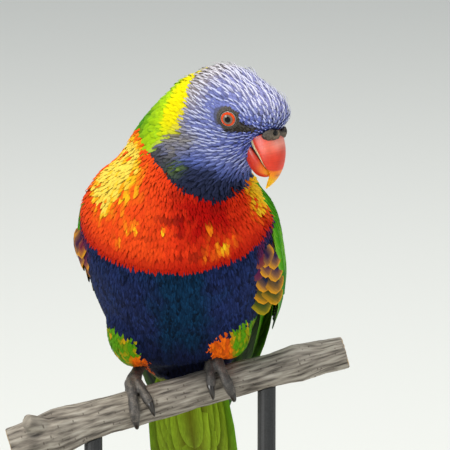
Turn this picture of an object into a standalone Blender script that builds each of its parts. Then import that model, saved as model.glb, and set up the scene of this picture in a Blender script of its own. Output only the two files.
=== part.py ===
"""Rainbow lorikeet gripping a cut length of branch on a plain display stand: a still, life-size model.

Lengths are in millimetres, and each finished mesh is scaled to metres. +Z is up and the bird's breast
faces -Y, so its left is +X. The world's origin is the centre of the stand's underside. The bird is laid
out from the perch point, which is on the branch's axis midway between the feet.
"""

import math
import random

import bmesh
import bpy
from mathutils import Matrix, Vector

MILLIMETRE = 0.001
TOUCH_GAP = 0.3
SEED = 11

PERCH_POINT = Vector((0.0, -8.0, 106.0))
PERCH_RADIUS = 6.4
PERCH_LEFT_REACH = 62.0
PERCH_RIGHT_REACH = 60.0
PERCH_TILT = math.radians(15)
PERCH_YAW = math.radians(10)

BASE_WIDTH = 104.0
BASE_DEPTH = 112.0
BASE_THICKNESS = 9.0
BASE_CORNER = 14.0
BASE_BEVEL = 2.2
ROD_RADIUS = 3.2
COLLAR_RADIUS = 6.5
ROD_X = 30.0

# Spine stations of the trunk, tail root to neck root: y, z, half width, dorsal depth, ventral depth.
TRUNK = (
    (37, -3, 8, 6, 7),
    (31, 5, 13.5, 9, 11.5),
    (22, 14, 19.0, 13, 16.5),
    (12, 25.5, 25.5, 17.5, 22.5),
    (3, 38, 30, 20.5, 25),
    (-6, 51, 32.5, 22, 28),
    (-13, 63, 33.5, 22, 29),
    (-18, 73, 30.5, 21, 26),
    (-21, 82, 24.5, 18.5, 21.5),
    (-22, 89, 17.5, 15, 16.5),
)
# Neck stations: x, y, z, half width, depth.
NECK = (
    (1.5, -20, 79, 23.5, 20),
    (3.5, -21, 89, 19.5, 18.5),
    (8.5, -23, 98, 16.8, 16),
    (15, -26, 105, 14.0, 14),
)
# Swelling of the left breast where the head is turned over it: centre and radii.
BREAST_SWELL = (Vector((18.5, -20.0, 75.5)), (10.0, 9.5, 9.5))
NECK_ROOT_CUT = (Vector((2, -24, 86)), Vector((0.27, -0.33, 0.91)))
HEAD_CUT = (Vector((9.9, -23.0, 114.6)), Vector((0.88, -0.47, -0.11)))

# The head's own frame: f towards the bill, l to the bird's left, u up, from midway between the eyes.
HEAD_ORIGIN = Vector((26.2, -31.7, 105.2))
HEAD_YAW = math.radians(62)
HEAD_PITCH = math.radians(27)
# Masses of the feathered head: centre (f, l, u) and radii.
HEAD_MASSES = (
    ((-6.5, 0, -1), (16.5, 15.2, 13)),
    ((0, 0, 2), (13, 12, 10)),
    ((5, 0, 4.6), (10.2, 9.4, 7.4)),
    ((0, 0, -1), (11, 11.6, 11)),
    ((-4.4, 4.4, -8.5), (12.5, 10.4, 11)),
    ((-4.4, -4.4, -8.5), (12.5, 10.4, 11)),
    ((1, 0, -13), (10.4, 8.2, 8)),
    ((-3, 0, -19), (11, 12.6, 13)),
)
EYE_RADIUS = 4.3
EYE_SEAT = Vector((0.0, 10.4, 0.0))
EYE_FORWARD_TURN = math.radians(20)
LID_RADIUS = 3.75
LID_THICKNESS = 0.95

# Upper mandible stations: culmen (f, u), cutting edge (f, u), half width.
UPPER_BILL = (
    ((13.2, 1.2), (7.2, -5.4), 5.4),
    ((15.8, -0.9), (9.8, -7.4), 5.5),
    ((18.0, -3.8), (12.4, -8.7), 5.4),
    ((19.5, -7.2), (14.8, -10.3), 5.0),
    ((20.3, -10.8), (17.0, -11.7), 4.1),
    ((20.4, -13.6), (18.3, -13.4), 2.9),
    ((19.8, -16.5), (18.2, -16.2), 1.7),
    ((18.5, -19.3), (18.1, -19.2), 0.35),
)
LOWER_BILL = (
    ((6.8, -7.0), (9.0, -15.0), 4.5),
    ((10.0, -8.3), (11.6, -16.2), 4.6),
    ((12.7, -9.5), (13.8, -16.7), 4.2),
    ((15.2, -11.1), (15.8, -16.2), 3.5),
    ((17.0, -12.2), (17.3, -15.2), 2.4),
    ((18.0, -13.0), (18.1, -14.1), 0.8),
)
CERE_CENTRE = Vector((11.3, 0, -0.6))
CERE_RADII = Vector((4.3, 5.9, 3.7))
NOSTRIL = Vector((14.2, 3.1, 0.9))
NOSTRIL_RADIUS = 0.75

# Wing stations from the neck back to the wing's tip, on an axis through the trunk: distance along the
# axis, half width, dorsal depth, rise of the centre, and lower and upper edge in degrees above the side.
WING_AXIS_POINT = Vector((0, -2, 45))
WING_AXIS = Vector((0, -0.56, 0.83)).normalized()
WING = (
    (36, 30.5, 24, 2, 0, 34),
    (22, 35.8, 26.5, 1, -9, 46),
    (6, 37.4, 27.5, 0, -11, 60),
    (-12, 35.2, 26.5, 0, -10, 74),
    (-30, 31.2, 23.5, 1, -4, 82),
    (-48, 27.0, 19.5, 4, 4, 84),
    (-66, 22.5, 16.5, 7.5, 12, 82),
    (-84, 19.0, 14.2, 12, 20, 76),
    (-102, 15.8, 12.5, 16.5, 27, 66),
    (-120, 13.0, 11.0, 21, 33, 56),
)
# The trunk is turned a little to the bird's right, which carries the middle of both wings to its left.
WING_TURN = 2.4
# How far the wing lies sunk in the trunk's side, at its middle.
WING_BED = 7.2
WING_CORE_FRONT = 34.0
WING_CORE_BACK = -24.0
WING_CORE_DEPTH = 10.0

# Rows of wing feathers: count, root and tip along the axis (lowest and highest feather), shares of the
# wing's height at root and tip (lowest and highest feather), width, depth under the wing's surface, further
# depth of each lower feather at its tip, tilt in degrees, stations, pointedness.
WING_ROWS = (
    ("primary", 7, (-6, -1), (-118, -76), (0.06, 0.50), (0.10, 0.62), 9.5, 6.0, 0.55, 12, 5, 0.75),
    ("secondary", 7, (-8, -3), (-64, -52), (0.15, 0.91), (0.21, 0.93), 10.5, 3.4, 0.12, 10, 4, 0.45),
    ("greater_covert", 7, (6, 12), (-30, -26), (0.09, 0.92), (0.11, 0.94), 10.0, 0.9, 0.15, 9, 4, 0.35),
)
VANE_THICKNESS = 0.55
ROOT_SINK = 2.6

TAIL_ROOT = Vector((0, 37, -3))
TAIL_PITCH = math.radians(50)
# Stations of the tail's fleshy root: distance along the tail, half width, depth.
TAIL_STUB = ((-9, 10, 7.5), (2.7, 11, 6.6), (12.6, 9.5, 4.8), (20.7, 6.5, 2.6), (25.2, 3.5, 1.2))
TAIL_LENGTHS = (118, 111, 101, 91, 81, 71)
TAIL_FEATHER_WIDTH = 11.0
TAIL_SPREAD = math.radians(0.45)
# Pairs of tail feathers and tail coverts: how far out and how far down their roots lie.
TAIL_SEATS = ((1.2, 0.9), (6.0, 2.6), (6.8, 3.42), (7.6, 4.24), (8.4, 5.06), (9.2, 5.88))
UPPER_COVERTS = ((0.0, -1.9, 36), (4.6, -1.03, 32), (7.6, -0.15, 24))
LOWER_COVERTS = ((0.0, 8.7, 44), (4.2, 7.85, 39), (7.6, 7.0, 32))
COVERT_WIDTH = 9.5

# Leg stations from the hip to the ankle for the bird's left: x, y, z, radius.
THIGH = (
    (15.0, -5.5, 30, 10.5),
    (16.2, -1.5, 22, 9.4),
    (15.8, 4.5, 17, 7.2),
    (14.9, 8.3, 14.2, 4.9),
    (14.7, 10, 13, 3.4),
)
FOOT_X = 14.5
GRIP_CLEARANCE = 11.4
SHANK_RADIUS = 2.2
# Toes: name, degrees round the branch to the tip, spread along the branch at the tip, radius at the base.
TOES = (
    ("inner_front", 82, -3.6, 2.0),
    ("outer_front", 112, 3.0, 2.15),
    ("outer_back", -104, 3.4, 2.0),
    ("inner_back", -70, -3.0, 1.8),
)
CLAW_LENGTH = 6.2
CLAW_RADIUS = 1.15

BODY_TRIANGLES = 2200
# Faces that meet at less than this angle, in degrees, are merged after the Booleans.
FLAT_ENOUGH = 2.5

# Base colour, roughness and metallic value of each sub-part's material.
FINISHES = {
    "breast": ((0.80, 0.13, 0.03), 0.7, 0.0),
    "nape": ((0.35, 0.60, 0.05), 0.7, 0.0),
    "hood": ((0.13, 0.16, 0.50), 0.65, 0.0),
    "green": ((0.10, 0.40, 0.04), 0.6, 0.0),
    "thigh": ((0.20, 0.42, 0.05), 0.7, 0.0),
    "bill": ((0.80, 0.10, 0.03), 0.3, 0.0),
    "cere": ((0.10, 0.09, 0.08), 0.55, 0.0),
    "eye": ((0.75, 0.12, 0.02), 0.08, 0.0),
    "scale": ((0.12, 0.11, 0.10), 0.6, 0.0),
    "claw": ((0.03, 0.03, 0.03), 0.35, 0.0),
    "bark": ((0.32, 0.29, 0.25), 0.9, 0.0),
    "board": ((0.22, 0.13, 0.07), 0.45, 0.0),
    "steel": ((0.05, 0.05, 0.05), 0.4, 0.9),
}


def spline(table, position):
    """The row of numbers at a fractional position in a table, on a Catmull-Rom curve through its rows."""
    last = len(table) - 1
    position = min(max(position, 0.0), float(last))
    i = min(int(position), last - 1)
    t = position - i
    rows = [table[min(max(i + k, 0), last)] for k in (-1, 0, 1, 2)]
    return [
        0.5 * (2 * b + (c - a) * t + (2 * a - 5 * b + 4 * c - d) * t * t + (3 * b - a - 3 * c + d) * t**3)
        for a, b, c, d in zip(*rows)
    ]


def spline_at(table, value):
    """The table's row where its first column, which falls from row to row, has that value."""
    value = min(max(value, table[-1][0]), table[0][0])
    for i, (above, below) in enumerate(zip(table, table[1:])):
        if value >= below[0]:
            return spline(table, i + (above[0] - value) / (above[0] - below[0]))
    return list(table[-1])


def egg_ring(centre, side, up, half_width, rise, drop, count):
    """Closed ring of points, half_width along side, rise along up and drop against it."""
    ring = []
    for i in range(count):
        angle = 2 * math.pi * i / count
        across = half_width * math.cos(angle)
        height = (rise if angle < math.pi else drop) * math.sin(angle)
        ring.append(centre + side * across + up * height)
    return ring


def loft(bm, rings):
    """Skins equal rings in order and caps both ends."""
    rows = [[bm.verts.new(point) for point in ring] for ring in rings]
    for a, b in zip(rows, rows[1:]):
        for i in range(len(a)):
            j = (i + 1) % len(a)
            bm.faces.new((a[i], a[j], b[j], b[i]))
    bm.faces.new(rows[0][::-1])
    bm.faces.new(rows[-1])


def tube(bm, centres, radii, count, flatten=1.0, up_hint=Vector((0, 0, 1))):
    """Round tube through a list of points. flatten scales its height along up_hint."""
    rings = []
    for i, centre in enumerate(centres):
        along = (centres[min(i + 1, len(centres) - 1)] - centres[max(i - 1, 0)]).normalized()
        side = along.cross(up_hint).normalized()
        up = side.cross(along)
        rings.append(egg_ring(centre, side, up, radii[i], radii[i] * flatten, radii[i] * flatten, count))
    loft(bm, rings)


def mesh_object(name, bm):
    """Object of a bmesh, faces pointing out, in millimetres for now."""
    bmesh.ops.recalc_face_normals(bm, faces=bm.faces)
    mesh = bpy.data.meshes.new(name)
    bm.to_mesh(mesh)
    bm.free()
    obj = bpy.data.objects.new(name, mesh)
    bpy.context.scene.collection.objects.link(obj)
    return obj


def apply_modifiers(obj):
    """Replaces an object's mesh by what its modifiers make of it."""
    graph = bpy.context.evaluated_depsgraph_get()
    graph.update()
    mesh = bpy.data.meshes.new_from_object(obj.evaluated_get(graph))
    obj.modifiers.clear()
    obj.data = mesh


def keep_largest(obj):
    """Drops every closed surface of a mesh but the one with the most volume."""
    bm = bmesh.new()
    bm.from_mesh(obj.data)
    bm.verts.ensure_lookup_table()
    unseen = set(bm.verts)
    shells = []
    while unseen:
        stack = [unseen.pop()]
        shell = set(stack)
        while stack:
            for edge in stack.pop().link_edges:
                for vertex in edge.verts:
                    if vertex in unseen:
                        unseen.discard(vertex)
                        shell.add(vertex)
                        stack.append(vertex)
        shells.append(shell)

    def volume(shell):
        total = 0.0
        for face in {face for vertex in shell for face in vertex.link_faces}:
            corners = [loop.vert.co for loop in face.loops]
            for b, c in zip(corners[1:], corners[2:]):
                total += corners[0].dot(b.cross(c))
        return total

    shells.sort(key=volume)
    for shell in shells[:-1]:
        bmesh.ops.delete(bm, geom=list(shell), context="VERTS")
    bm.to_mesh(obj.data)
    bm.free()


def tidied(obj, degrees):
    """Merges faces that a Boolean has left in one plane, and triangulates again."""
    bm = bmesh.new()
    bm.from_mesh(obj.data)
    bmesh.ops.dissolve_limit(bm, angle_limit=math.radians(degrees), verts=bm.verts, edges=bm.edges)
    bmesh.ops.triangulate(bm, faces=bm.faces)
    bm.to_mesh(obj.data)
    bm.free()


def cut(obj, cutters, solver="EXACT"):
    """Takes cutters away from an object and removes them.

    A cutter grown from a body with folds crosses itself there, and needs the MANIFOLD solver.
    """
    for cutter in cutters:
        modifier = obj.modifiers.new("cut", "BOOLEAN")
        modifier.operation = "DIFFERENCE"
        modifier.solver = solver
        modifier.object = cutter
        apply_modifiers(obj)
        bpy.data.objects.remove(cutter)
    keep_largest(obj)


def join_pieces(name, pieces):
    """One closed body from overlapping closed pieces."""
    collection = bpy.data.collections.new(name + "_pieces")
    bpy.context.scene.collection.children.link(collection)
    first, *rest = pieces
    for piece in rest:
        bpy.context.scene.collection.objects.unlink(piece)
        collection.objects.link(piece)
    modifier = first.modifiers.new("join", "BOOLEAN")
    modifier.operation = "UNION"
    modifier.solver = "EXACT"
    modifier.operand_type = "COLLECTION"
    modifier.collection = collection
    apply_modifiers(first)
    for piece in rest:
        bpy.data.objects.remove(piece)
    bpy.data.collections.remove(collection)
    keep_largest(first)
    first.name = name
    return first


def grown(obj, distance=TOUCH_GAP):
    """Copy of an object with its surface moved out, as the cutter that keeps a neighbour clear."""
    bm = bmesh.new()
    bm.from_mesh(obj.data)
    bm.normal_update()
    moves = [(vertex, vertex.normal * distance) for vertex in bm.verts]
    for vertex, move in moves:
        vertex.co += move
    copy = mesh_object(obj.name + "_cutter", bm)
    copy.hide_render = True
    copy.display_type = "WIRE"
    return copy


def kept_side(obj, name, point, normal):
    """Copy of the part of a closed object on the side that normal points to, with the cut filled flat."""
    bm = bmesh.new()
    bm.from_mesh(obj.data)
    geometry = bm.verts[:] + bm.edges[:] + bm.faces[:]
    sliced = bmesh.ops.bisect_plane(bm, geom=geometry, plane_co=point, plane_no=normal, clear_inner=True)
    edges = [item for item in sliced["geom_cut"] if isinstance(item, bmesh.types.BMEdge)]
    bmesh.ops.edgeloop_fill(bm, edges=edges)
    bmesh.ops.triangulate(bm, faces=bm.faces[:])
    return mesh_object(name, bm)


def one_skin(obj, voxel, rounds):
    """Fuses the overlapping closed shapes of a mesh into one smooth skin."""
    remesh = obj.modifiers.new("one_skin", "REMESH")
    remesh.mode = "VOXEL"
    remesh.voxel_size = voxel
    soften = obj.modifiers.new("soften", "SMOOTH")
    soften.factor = 0.5
    soften.iterations = rounds
    apply_modifiers(obj)


def thinned(obj, triangles):
    """Leaves about that many triangles in a mesh, fewest where it is flattest."""
    thin_out = obj.modifiers.new("thin_out", "DECIMATE")
    thin_out.ratio = min(1.0, triangles / (2.0 * len(obj.data.polygons)))
    apply_modifiers(obj)


def head_axes():
    """The head's forward, left and up directions."""
    level = Vector((math.sin(HEAD_YAW), -math.cos(HEAD_YAW), 0))
    forward = level * math.cos(HEAD_PITCH) - Vector((0, 0, 1)) * math.sin(HEAD_PITCH)
    left = Vector((0, 0, 1)).cross(level)
    return forward, left, left.cross(forward) * -1


def in_head(f, l, u):
    """Point of the head's frame, from the perch point."""
    forward, left, up = head_axes()
    return HEAD_ORIGIN + forward * f + left * l + up * u


def head_matrix(centre, radii):
    """Matrix that makes a unit ball an ellipsoid of the head's frame."""
    forward, left, up = head_axes()
    turn = Matrix((forward, left, up)).transposed().to_4x4()
    return Matrix.Translation(in_head(*centre)) @ turn @ Matrix.Diagonal((*radii, 1.0))


def ball(bm, matrix, rings=18, segments=28):
    bmesh.ops.create_uvsphere(bm, u_segments=segments, v_segments=rings, radius=1.0, matrix=matrix)


def body_blank():
    """Trunk, neck and head masses fused into one smooth body, to be parted with thin cuts."""
    bm = bmesh.new()
    rings = []
    steps = 3 * (len(TRUNK) - 1)
    for i in range(steps + 1):
        y, z, width, dorsal, ventral = spline(TRUNK, i / 3)
        ahead = spline(TRUNK, i / 3 + 0.2)
        behind = spline(TRUNK, i / 3 - 0.2)
        along = Vector((0, ahead[0] - behind[0], ahead[1] - behind[1])).normalized()
        back = Vector((1, 0, 0)).cross(along) * -1
        rings.append(egg_ring(Vector((0, y, z)), Vector((1, 0, 0)), back, width, dorsal, ventral, 36))
    loft(bm, rings)
    steps = 3 * (len(NECK) - 1)
    rows = [spline(NECK, i / 3) for i in range(steps + 1)]
    rings = []
    for i, (x, y, z, width, depth) in enumerate(rows):
        ahead = Vector(rows[min(i + 1, steps)][:3])
        behind = Vector(rows[max(i - 1, 0)][:3])
        along = (ahead - behind).normalized()
        back = Vector((1, 0, 0)).cross(along).normalized() * -1
        side = back.cross(along).normalized()
        rings.append(egg_ring(Vector((x, y, z)), side, back, width, depth, depth, 32))
    loft(bm, rings)
    for centre, radii in HEAD_MASSES:
        ball(bm, head_matrix(centre, radii))
    swell_centre, swell_radii = BREAST_SWELL
    ball(bm, Matrix.Translation(swell_centre) @ Matrix.Diagonal((*swell_radii, 1.0)))
    blank = mesh_object("body_blank", bm)
    one_skin(blank, voxel=1.25, rounds=14)
    for vertex in blank.data.vertices:
        vertex.co = wing_bed(vertex.co)
    thinned(blank, BODY_TRIANGLES)
    return blank


def eye_axes(side):
    """Centre of an eye and the direction that it looks in, for side 1 (left) or -1 (right)."""
    forward, left, _ = head_axes()
    centre = in_head(EYE_SEAT.x, EYE_SEAT.y * side, EYE_SEAT.z)
    gaze = left * (side * math.cos(EYE_FORWARD_TURN)) + forward * math.sin(EYE_FORWARD_TURN)
    return centre, gaze


def eyeball(name, side, radius):
    """Ball whose poles lie on the line of sight."""
    centre, gaze = eye_axes(side)
    turn = gaze.to_track_quat("Z", "Y").to_matrix().to_4x4()
    bm = bmesh.new()
    ball(bm, Matrix.Translation(centre) @ turn @ Matrix.Diagonal((radius, radius, radius, 1)), 9, 16)
    return mesh_object(name, bm)


def lid_ring(side):
    """Raised bare ring of lid round an eye."""
    centre, gaze = eye_axes(side)
    across = gaze.cross(Vector((0, 0, 1))).normalized()
    up = across.cross(gaze)
    reach = math.sqrt(EYE_RADIUS**2 - (LID_RADIUS - 0.4) ** 2)
    bm = bmesh.new()
    rings = []
    around, tubular = 18, 6
    for i in range(around):
        turn = 2 * math.pi * i / around
        out = across * math.cos(turn) + up * math.sin(turn)
        middle = centre + gaze * (reach - 0.35) + out * LID_RADIUS
        rings.append(egg_ring(middle, out, gaze, LID_THICKNESS * 1.35, LID_THICKNESS, 2.2, tubular))
    rows = [[bm.verts.new(point) for point in ring] for ring in rings]
    for i in range(around):
        a, b = rows[i], rows[(i + 1) % around]
        for k in range(tubular):
            m = (k + 1) % tubular
            bm.faces.new((a[k], a[m], b[m], b[k]))
    return mesh_object("lid_piece", bm)


def mandible(name, table, share_of_edge):
    """Bill half from stations of its culmen or keel and its cutting edge.

    share_of_edge is 0 when the second line of the table is the cutting edge and 1 when the first is.
    """
    _, left, _ = head_axes()
    flat = [(*top, *bottom, width) for top, bottom, width in table]
    steps = 2 * (len(flat) - 1)
    bm = bmesh.new()
    rings = []
    for i in range(steps + 1):
        top_f, top_u, low_f, low_u, width = spline(flat, i / 2)
        top = in_head(top_f, 0, top_u)
        low = in_head(low_f, 0, low_u)
        edge, crest = (top, low) if share_of_edge else (low, top)
        rise = crest - edge
        width = max(width, 0.25)
        ring = []
        for k in range(11):
            angle = math.pi * k / 10
            spread = math.copysign(abs(math.cos(angle)) ** 0.8, math.cos(angle))
            ring.append(edge + left * (width * spread) + rise * math.sin(angle) ** 0.95)
        for spread in (-0.5, 0.0, 0.5):
            ring.append(edge + left * (width * spread) + rise * 0.08)
        rings.append(ring)
    loft(bm, rings)
    return mesh_object(name, bm)


def cere_block():
    """Fleshy saddle over the root of the bill, with its two nostrils bored."""
    bm = bmesh.new()
    ball(bm, head_matrix(CERE_CENTRE, CERE_RADII), 12, 18)
    cere = mesh_object("cere", bm)
    forward, left, up = head_axes()
    bores = []
    for side in (-1, 1):
        bm = bmesh.new()
        mouth = in_head(NOSTRIL.x, NOSTRIL.y * side, NOSTRIL.z)
        inward = (forward * -0.8 - left * (0.75 * side) - up * 0.1).normalized()
        tube(bm, [mouth - inward * 3.0, mouth + inward * 1.3], [NOSTRIL_RADIUS] * 2, 10, 1.0, up)
        bores.append(mesh_object("nostril_cutter", bm))
    return cere, bores


def smooth_step(value):
    value = min(max(value, 0.0), 1.0)
    return value * value * (3 - 2 * value)


def wing_section(along):
    """The oval that both wings follow at a place on their axis: its centre, backward direction and row."""
    row = spline_at(WING, along)
    back = Vector((1, 0, 0)).cross(WING_AXIS) * -1
    turn = WING_TURN * smooth_step((14 - along) / 30) * smooth_step((78 + along) / 42)
    centre = WING_AXIS_POINT + WING_AXIS * along + back * row[3] + Vector((turn, 0, 0))
    return centre, back, row


def wing_point(side, along, angle, lift):
    """Point over the folded wing's surface, and the direction outwards there."""
    centre, back, (_, half_width, depth, *_) = wing_section(along)
    outward = Vector((side * math.cos(angle) / half_width, 0, 0)) + back * (math.sin(angle) / depth)
    outward.normalize()
    point = centre + Vector((side * half_width * math.cos(angle), 0, 0)) + back * (depth * math.sin(angle))
    return point + outward * lift, outward


def wing_angle(along, share):
    """Angle above the side at a share of the wing's height, from its lower edge to its upper edge."""
    *_, low, high = spline_at(WING, along)
    return math.radians(low + (high - low) * share)


def wing_bed(point):
    """Where a point of the trunk goes when the trunk's side is hollowed to take the folded wing."""
    along = (point - WING_AXIS_POINT).dot(WING_AXIS)
    centre, back, (_, half_width, depth, _, low, high) = wing_section(along)
    away = point - centre
    side = abs(away.x) / half_width
    height = away.dot(back) / depth
    scale = math.hypot(side, height)
    if scale < 0.3:
        return point
    angle = math.degrees(math.atan2(height, side))
    share = (angle - low) / (high - low)
    edge = smooth_step(share / 0.25) * smooth_step((1 - share) / 0.25) * smooth_step((40 - along) / 10)
    radius = math.hypot(half_width * side / scale, depth * height / scale)
    most = 1 - WING_BED * edge / radius
    if edge <= 0 or scale <= most:
        return point
    return centre + away * (most / scale)


def wing_core(side):
    """Fleshy and small-feathered front of the folded wing, on which the rows of feathers grow."""
    bm = bmesh.new()
    stations, across = 10, 7
    rings = []
    for i in range(stations):
        share = i / (stations - 1)
        along = WING_CORE_FRONT + (WING_CORE_BACK - WING_CORE_FRONT) * share
        level = min(0.0, -0.18 * (12 - along)) - 0.6
        front = min(1.0, share / 0.16)
        level -= 3.2 * (1 - math.sqrt(1 - (1 - front) ** 2))
        outer = []
        inner = []
        for k in range(across):
            height = k / (across - 1)
            angle = wing_angle(along, height)
            rim = max(0.0, math.sin(math.pi * height)) ** 0.4
            lift = -WING_CORE_DEPTH + (level + WING_CORE_DEPTH) * rim
            outer.append(wing_point(side, along, angle, max(lift, -WING_CORE_DEPTH + 0.4))[0])
            inner.append(wing_point(side, along, angle, -WING_CORE_DEPTH)[0])
        rings.append(outer + inner[::-1])
    loft(bm, rings)
    return mesh_object("wing_core", bm)


def vane_object(centres, normals, widths, tilt, flip):
    """Feather vane along a line of points: a thin closed blade, both faces split into triangles alike."""
    bm = bmesh.new()
    rows = []
    for i, centre in enumerate(centres):
        along = (centres[min(i + 1, len(centres) - 1)] - centres[max(i - 1, 0)]).normalized()
        side = along.cross(normals[i]).normalized()
        side = Matrix.Rotation(tilt * flip, 3, along) @ side
        normal = side.cross(along)
        half = side * (widths[i] / 2)
        skin = normal * (VANE_THICKNESS / 2)
        corners = (centre - half + skin, centre + half + skin, centre + half - skin, centre - half - skin)
        rows.append([bm.verts.new(point) for point in corners])
    for a, b in zip(rows, rows[1:]):
        bm.faces.new((a[0], a[1], b[1]))
        bm.faces.new((a[0], b[1], b[0]))
        bm.faces.new((a[3], b[2], a[2]))
        bm.faces.new((a[3], b[3], b[2]))
        bm.faces.new((a[1], a[2], b[2], b[1]))
        bm.faces.new((a[0], b[0], b[3], a[3]))
    bm.faces.new(rows[0][::-1])
    bm.faces.new(rows[-1])
    return mesh_object("vane", bm)


def vane_width(share, width, pointed):
    """Width of a vane at a share of its length: a narrow quill, a full web and a rounded or pointed tip."""
    quill = min(1.0, 0.45 + share / 0.3)
    tip_start = 1 - 0.3 - 0.35 * pointed
    if share <= tip_start:
        return width * quill
    into = (share - tip_start) / (1 - tip_start)
    return width * quill * max(0.16, math.sqrt(max(0.0, 1 - into ** (2 - 0.6 * pointed))))


def wing_vanes(side, rng):
    """All the feathers of one wing's rows, lower edge to upper edge."""
    vanes = []
    for row in WING_ROWS:
        _, count, roots, tips, root_shares, tip_shares, width, depth, step, tilt, stations, pointed = row
        for i in range(count):
            rank = i / (count - 1)
            root = roots[0] + (roots[1] - roots[0]) * rank
            tip = tips[0] + (tips[1] - tips[0]) * rank + rng.uniform(-1.2, 1.2)
            low_share = root_shares[0] + (root_shares[1] - root_shares[0]) * rank
            high_share = tip_shares[0] + (tip_shares[1] - tip_shares[0]) * rank
            centres, normals, widths = [], [], []
            for k in range(stations + 1):
                share = k / stations
                eased = 1 - (1 - share) ** 1.15
                along = root + (tip - root) * eased
                angle = wing_angle(along, low_share + (high_share - low_share) * eased)
                sink = ROOT_SINK * max(0.0, 1 - share / 0.22)
                under = depth + step * (count - 1 - i) * eased
                point, outward = wing_point(side, along, angle, -under - sink)
                centres.append(point)
                normals.append(outward)
                widths.append(vane_width(eased, width, pointed))
            vanes.append(vane_object(centres, normals, widths, math.radians(tilt), side))
    return vanes


def wing(name, side, neighbours, rng):
    pieces = [wing_core(side), *wing_vanes(side, rng)]
    whole = join_pieces(name, pieces)
    cut(whole, neighbours, solver="MANIFOLD")
    tidied(whole, FLAT_ENOUGH)
    return whole


def tail_axes():
    """Directions along the tail and out of its upper face."""
    along = Vector((0, math.cos(TAIL_PITCH), -math.sin(TAIL_PITCH)))
    return along, Vector((0, math.sin(TAIL_PITCH), math.cos(TAIL_PITCH)))


def tail_feather(side, out, down, length, width, turn, stations, pointed, bow):
    """One straight tail feather or covert: out and down place its root, and turn spreads it sideways."""
    along, up = tail_axes()
    start = TAIL_ROOT + along * 2
    centres, normals, widths = [], [], []
    for k in range(stations + 1):
        share = k / stations
        reach = length * share
        sideways = side * (out + math.tan(turn) * reach)
        sunk = down * min(1.0, 0.4 + share / 0.3)
        curve = bow * math.sin(math.pi * share)
        centres.append(start + along * reach + Vector((sideways, 0, 0)) - up * (sunk + curve))
        normals.append(up)
        widths.append(vane_width(share, width, pointed))
    tilt = math.radians(6) if out else 0.0
    return vane_object(centres, normals, widths, tilt, side)


def tail(rng):
    """Root of the tail with its feathers in a stepped stack, and a tier of coverts above and below."""
    along, up = tail_axes()
    bm = bmesh.new()
    rings = []
    for reach, width, height in TAIL_STUB:
        centre = TAIL_ROOT + along * reach - up * 2.5
        rings.append(egg_ring(centre, Vector((1, 0, 0)), up, width, height * 0.8, height, 14))
    loft(bm, rings)
    pieces = [mesh_object("tail_root", bm)]
    for rank, ((out, down), length) in enumerate(zip(TAIL_SEATS, TAIL_LENGTHS)):
        for side in (-1, 1):
            lower = down + (0.85 if side < 0 and rank == 0 else 0.0)
            reach = length + rng.uniform(-1.0, 1.0)
            width = TAIL_FEATHER_WIDTH
            pieces.append(tail_feather(side, out, lower, reach, width, TAIL_SPREAD * rank, 5, 0.95, 0.0))
    for seats, bow in ((UPPER_COVERTS, -0.8), (LOWER_COVERTS, 0.9)):
        for rank, (out, down, length) in enumerate(seats):
            for side in (-1, 1) if out else (1,):
                pieces.append(tail_feather(side, out, down, length, COVERT_WIDTH, 0.02 * rank, 3, 0.5, bow))
    return join_pieces("tail", pieces)


def perch_axis():
    """Direction of the branch towards the bird's left."""
    return Vector(
        (
            math.cos(PERCH_TILT) * math.cos(PERCH_YAW),
            math.cos(PERCH_TILT) * math.sin(PERCH_YAW),
            math.sin(PERCH_TILT),
        )
    )


def perch(rng):
    """Cut length of a weathered branch, gently bent, with a knot and the stump of a side twig."""
    axis = perch_axis()
    side = axis.cross(Vector((0, 0, 1))).normalized()
    up = side.cross(axis)
    bm = bmesh.new()
    rings = []
    stations = 15
    for i in range(stations):
        share = i / (stations - 1)
        reach = -PERCH_LEFT_REACH + (PERCH_LEFT_REACH + PERCH_RIGHT_REACH) * share
        away = max(0.0, abs(reach) - 22) / 40
        bend = side * (1.6 * away * math.sin(reach * 0.09)) + up * (-1.8 * away * away)
        knot = 1.5 * math.exp(-(((reach + 46) / 5) ** 2)) + 1.1 * math.exp(-(((reach - 41) / 4) ** 2))
        radius = PERCH_RADIUS * (1 - 0.0022 * reach) + knot
        ring = egg_ring(axis * reach + bend, side, up, radius, radius, radius, 14)
        centre = axis * reach + bend
        wild = 0.35 * min(1.0, away * 3)
        rings.append([centre + (point - centre) * (1 + rng.uniform(-wild, wild) * 0.25) for point in ring])
    loft(bm, rings)
    pieces = [mesh_object("branch", bm)]
    stump_root = axis * -44 + side * 2
    stump_out = (side * 0.55 + up * 0.6 - axis * 0.75).normalized()
    bm = bmesh.new()
    tube(bm, [stump_root, stump_root + stump_out * 8, stump_root + stump_out * 15], [3.6, 3.1, 2.6], 10)
    pieces.append(mesh_object("stump", bm))
    return join_pieces("perch", pieces)


def foot_frame(side):
    """Point on the branch's axis under a foot, with the directions along the branch, forward and up."""
    axis = perch_axis()
    forward = axis.cross(Vector((0, 0, 1))).normalized()
    if forward.y > 0:
        forward = -forward
    up = axis.cross(forward)
    if up.z < 0:
        up = -up
    return axis * (side * FOOT_X), axis, forward, up


def round_branch(side, degrees, reach, along):
    """Point at an angle round the branch from its top, forward positive."""
    centre, axis, forward, up = foot_frame(side)
    angle = math.radians(degrees)
    return centre + axis * along + (up * math.cos(angle) + forward * math.sin(angle)) * reach


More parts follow.
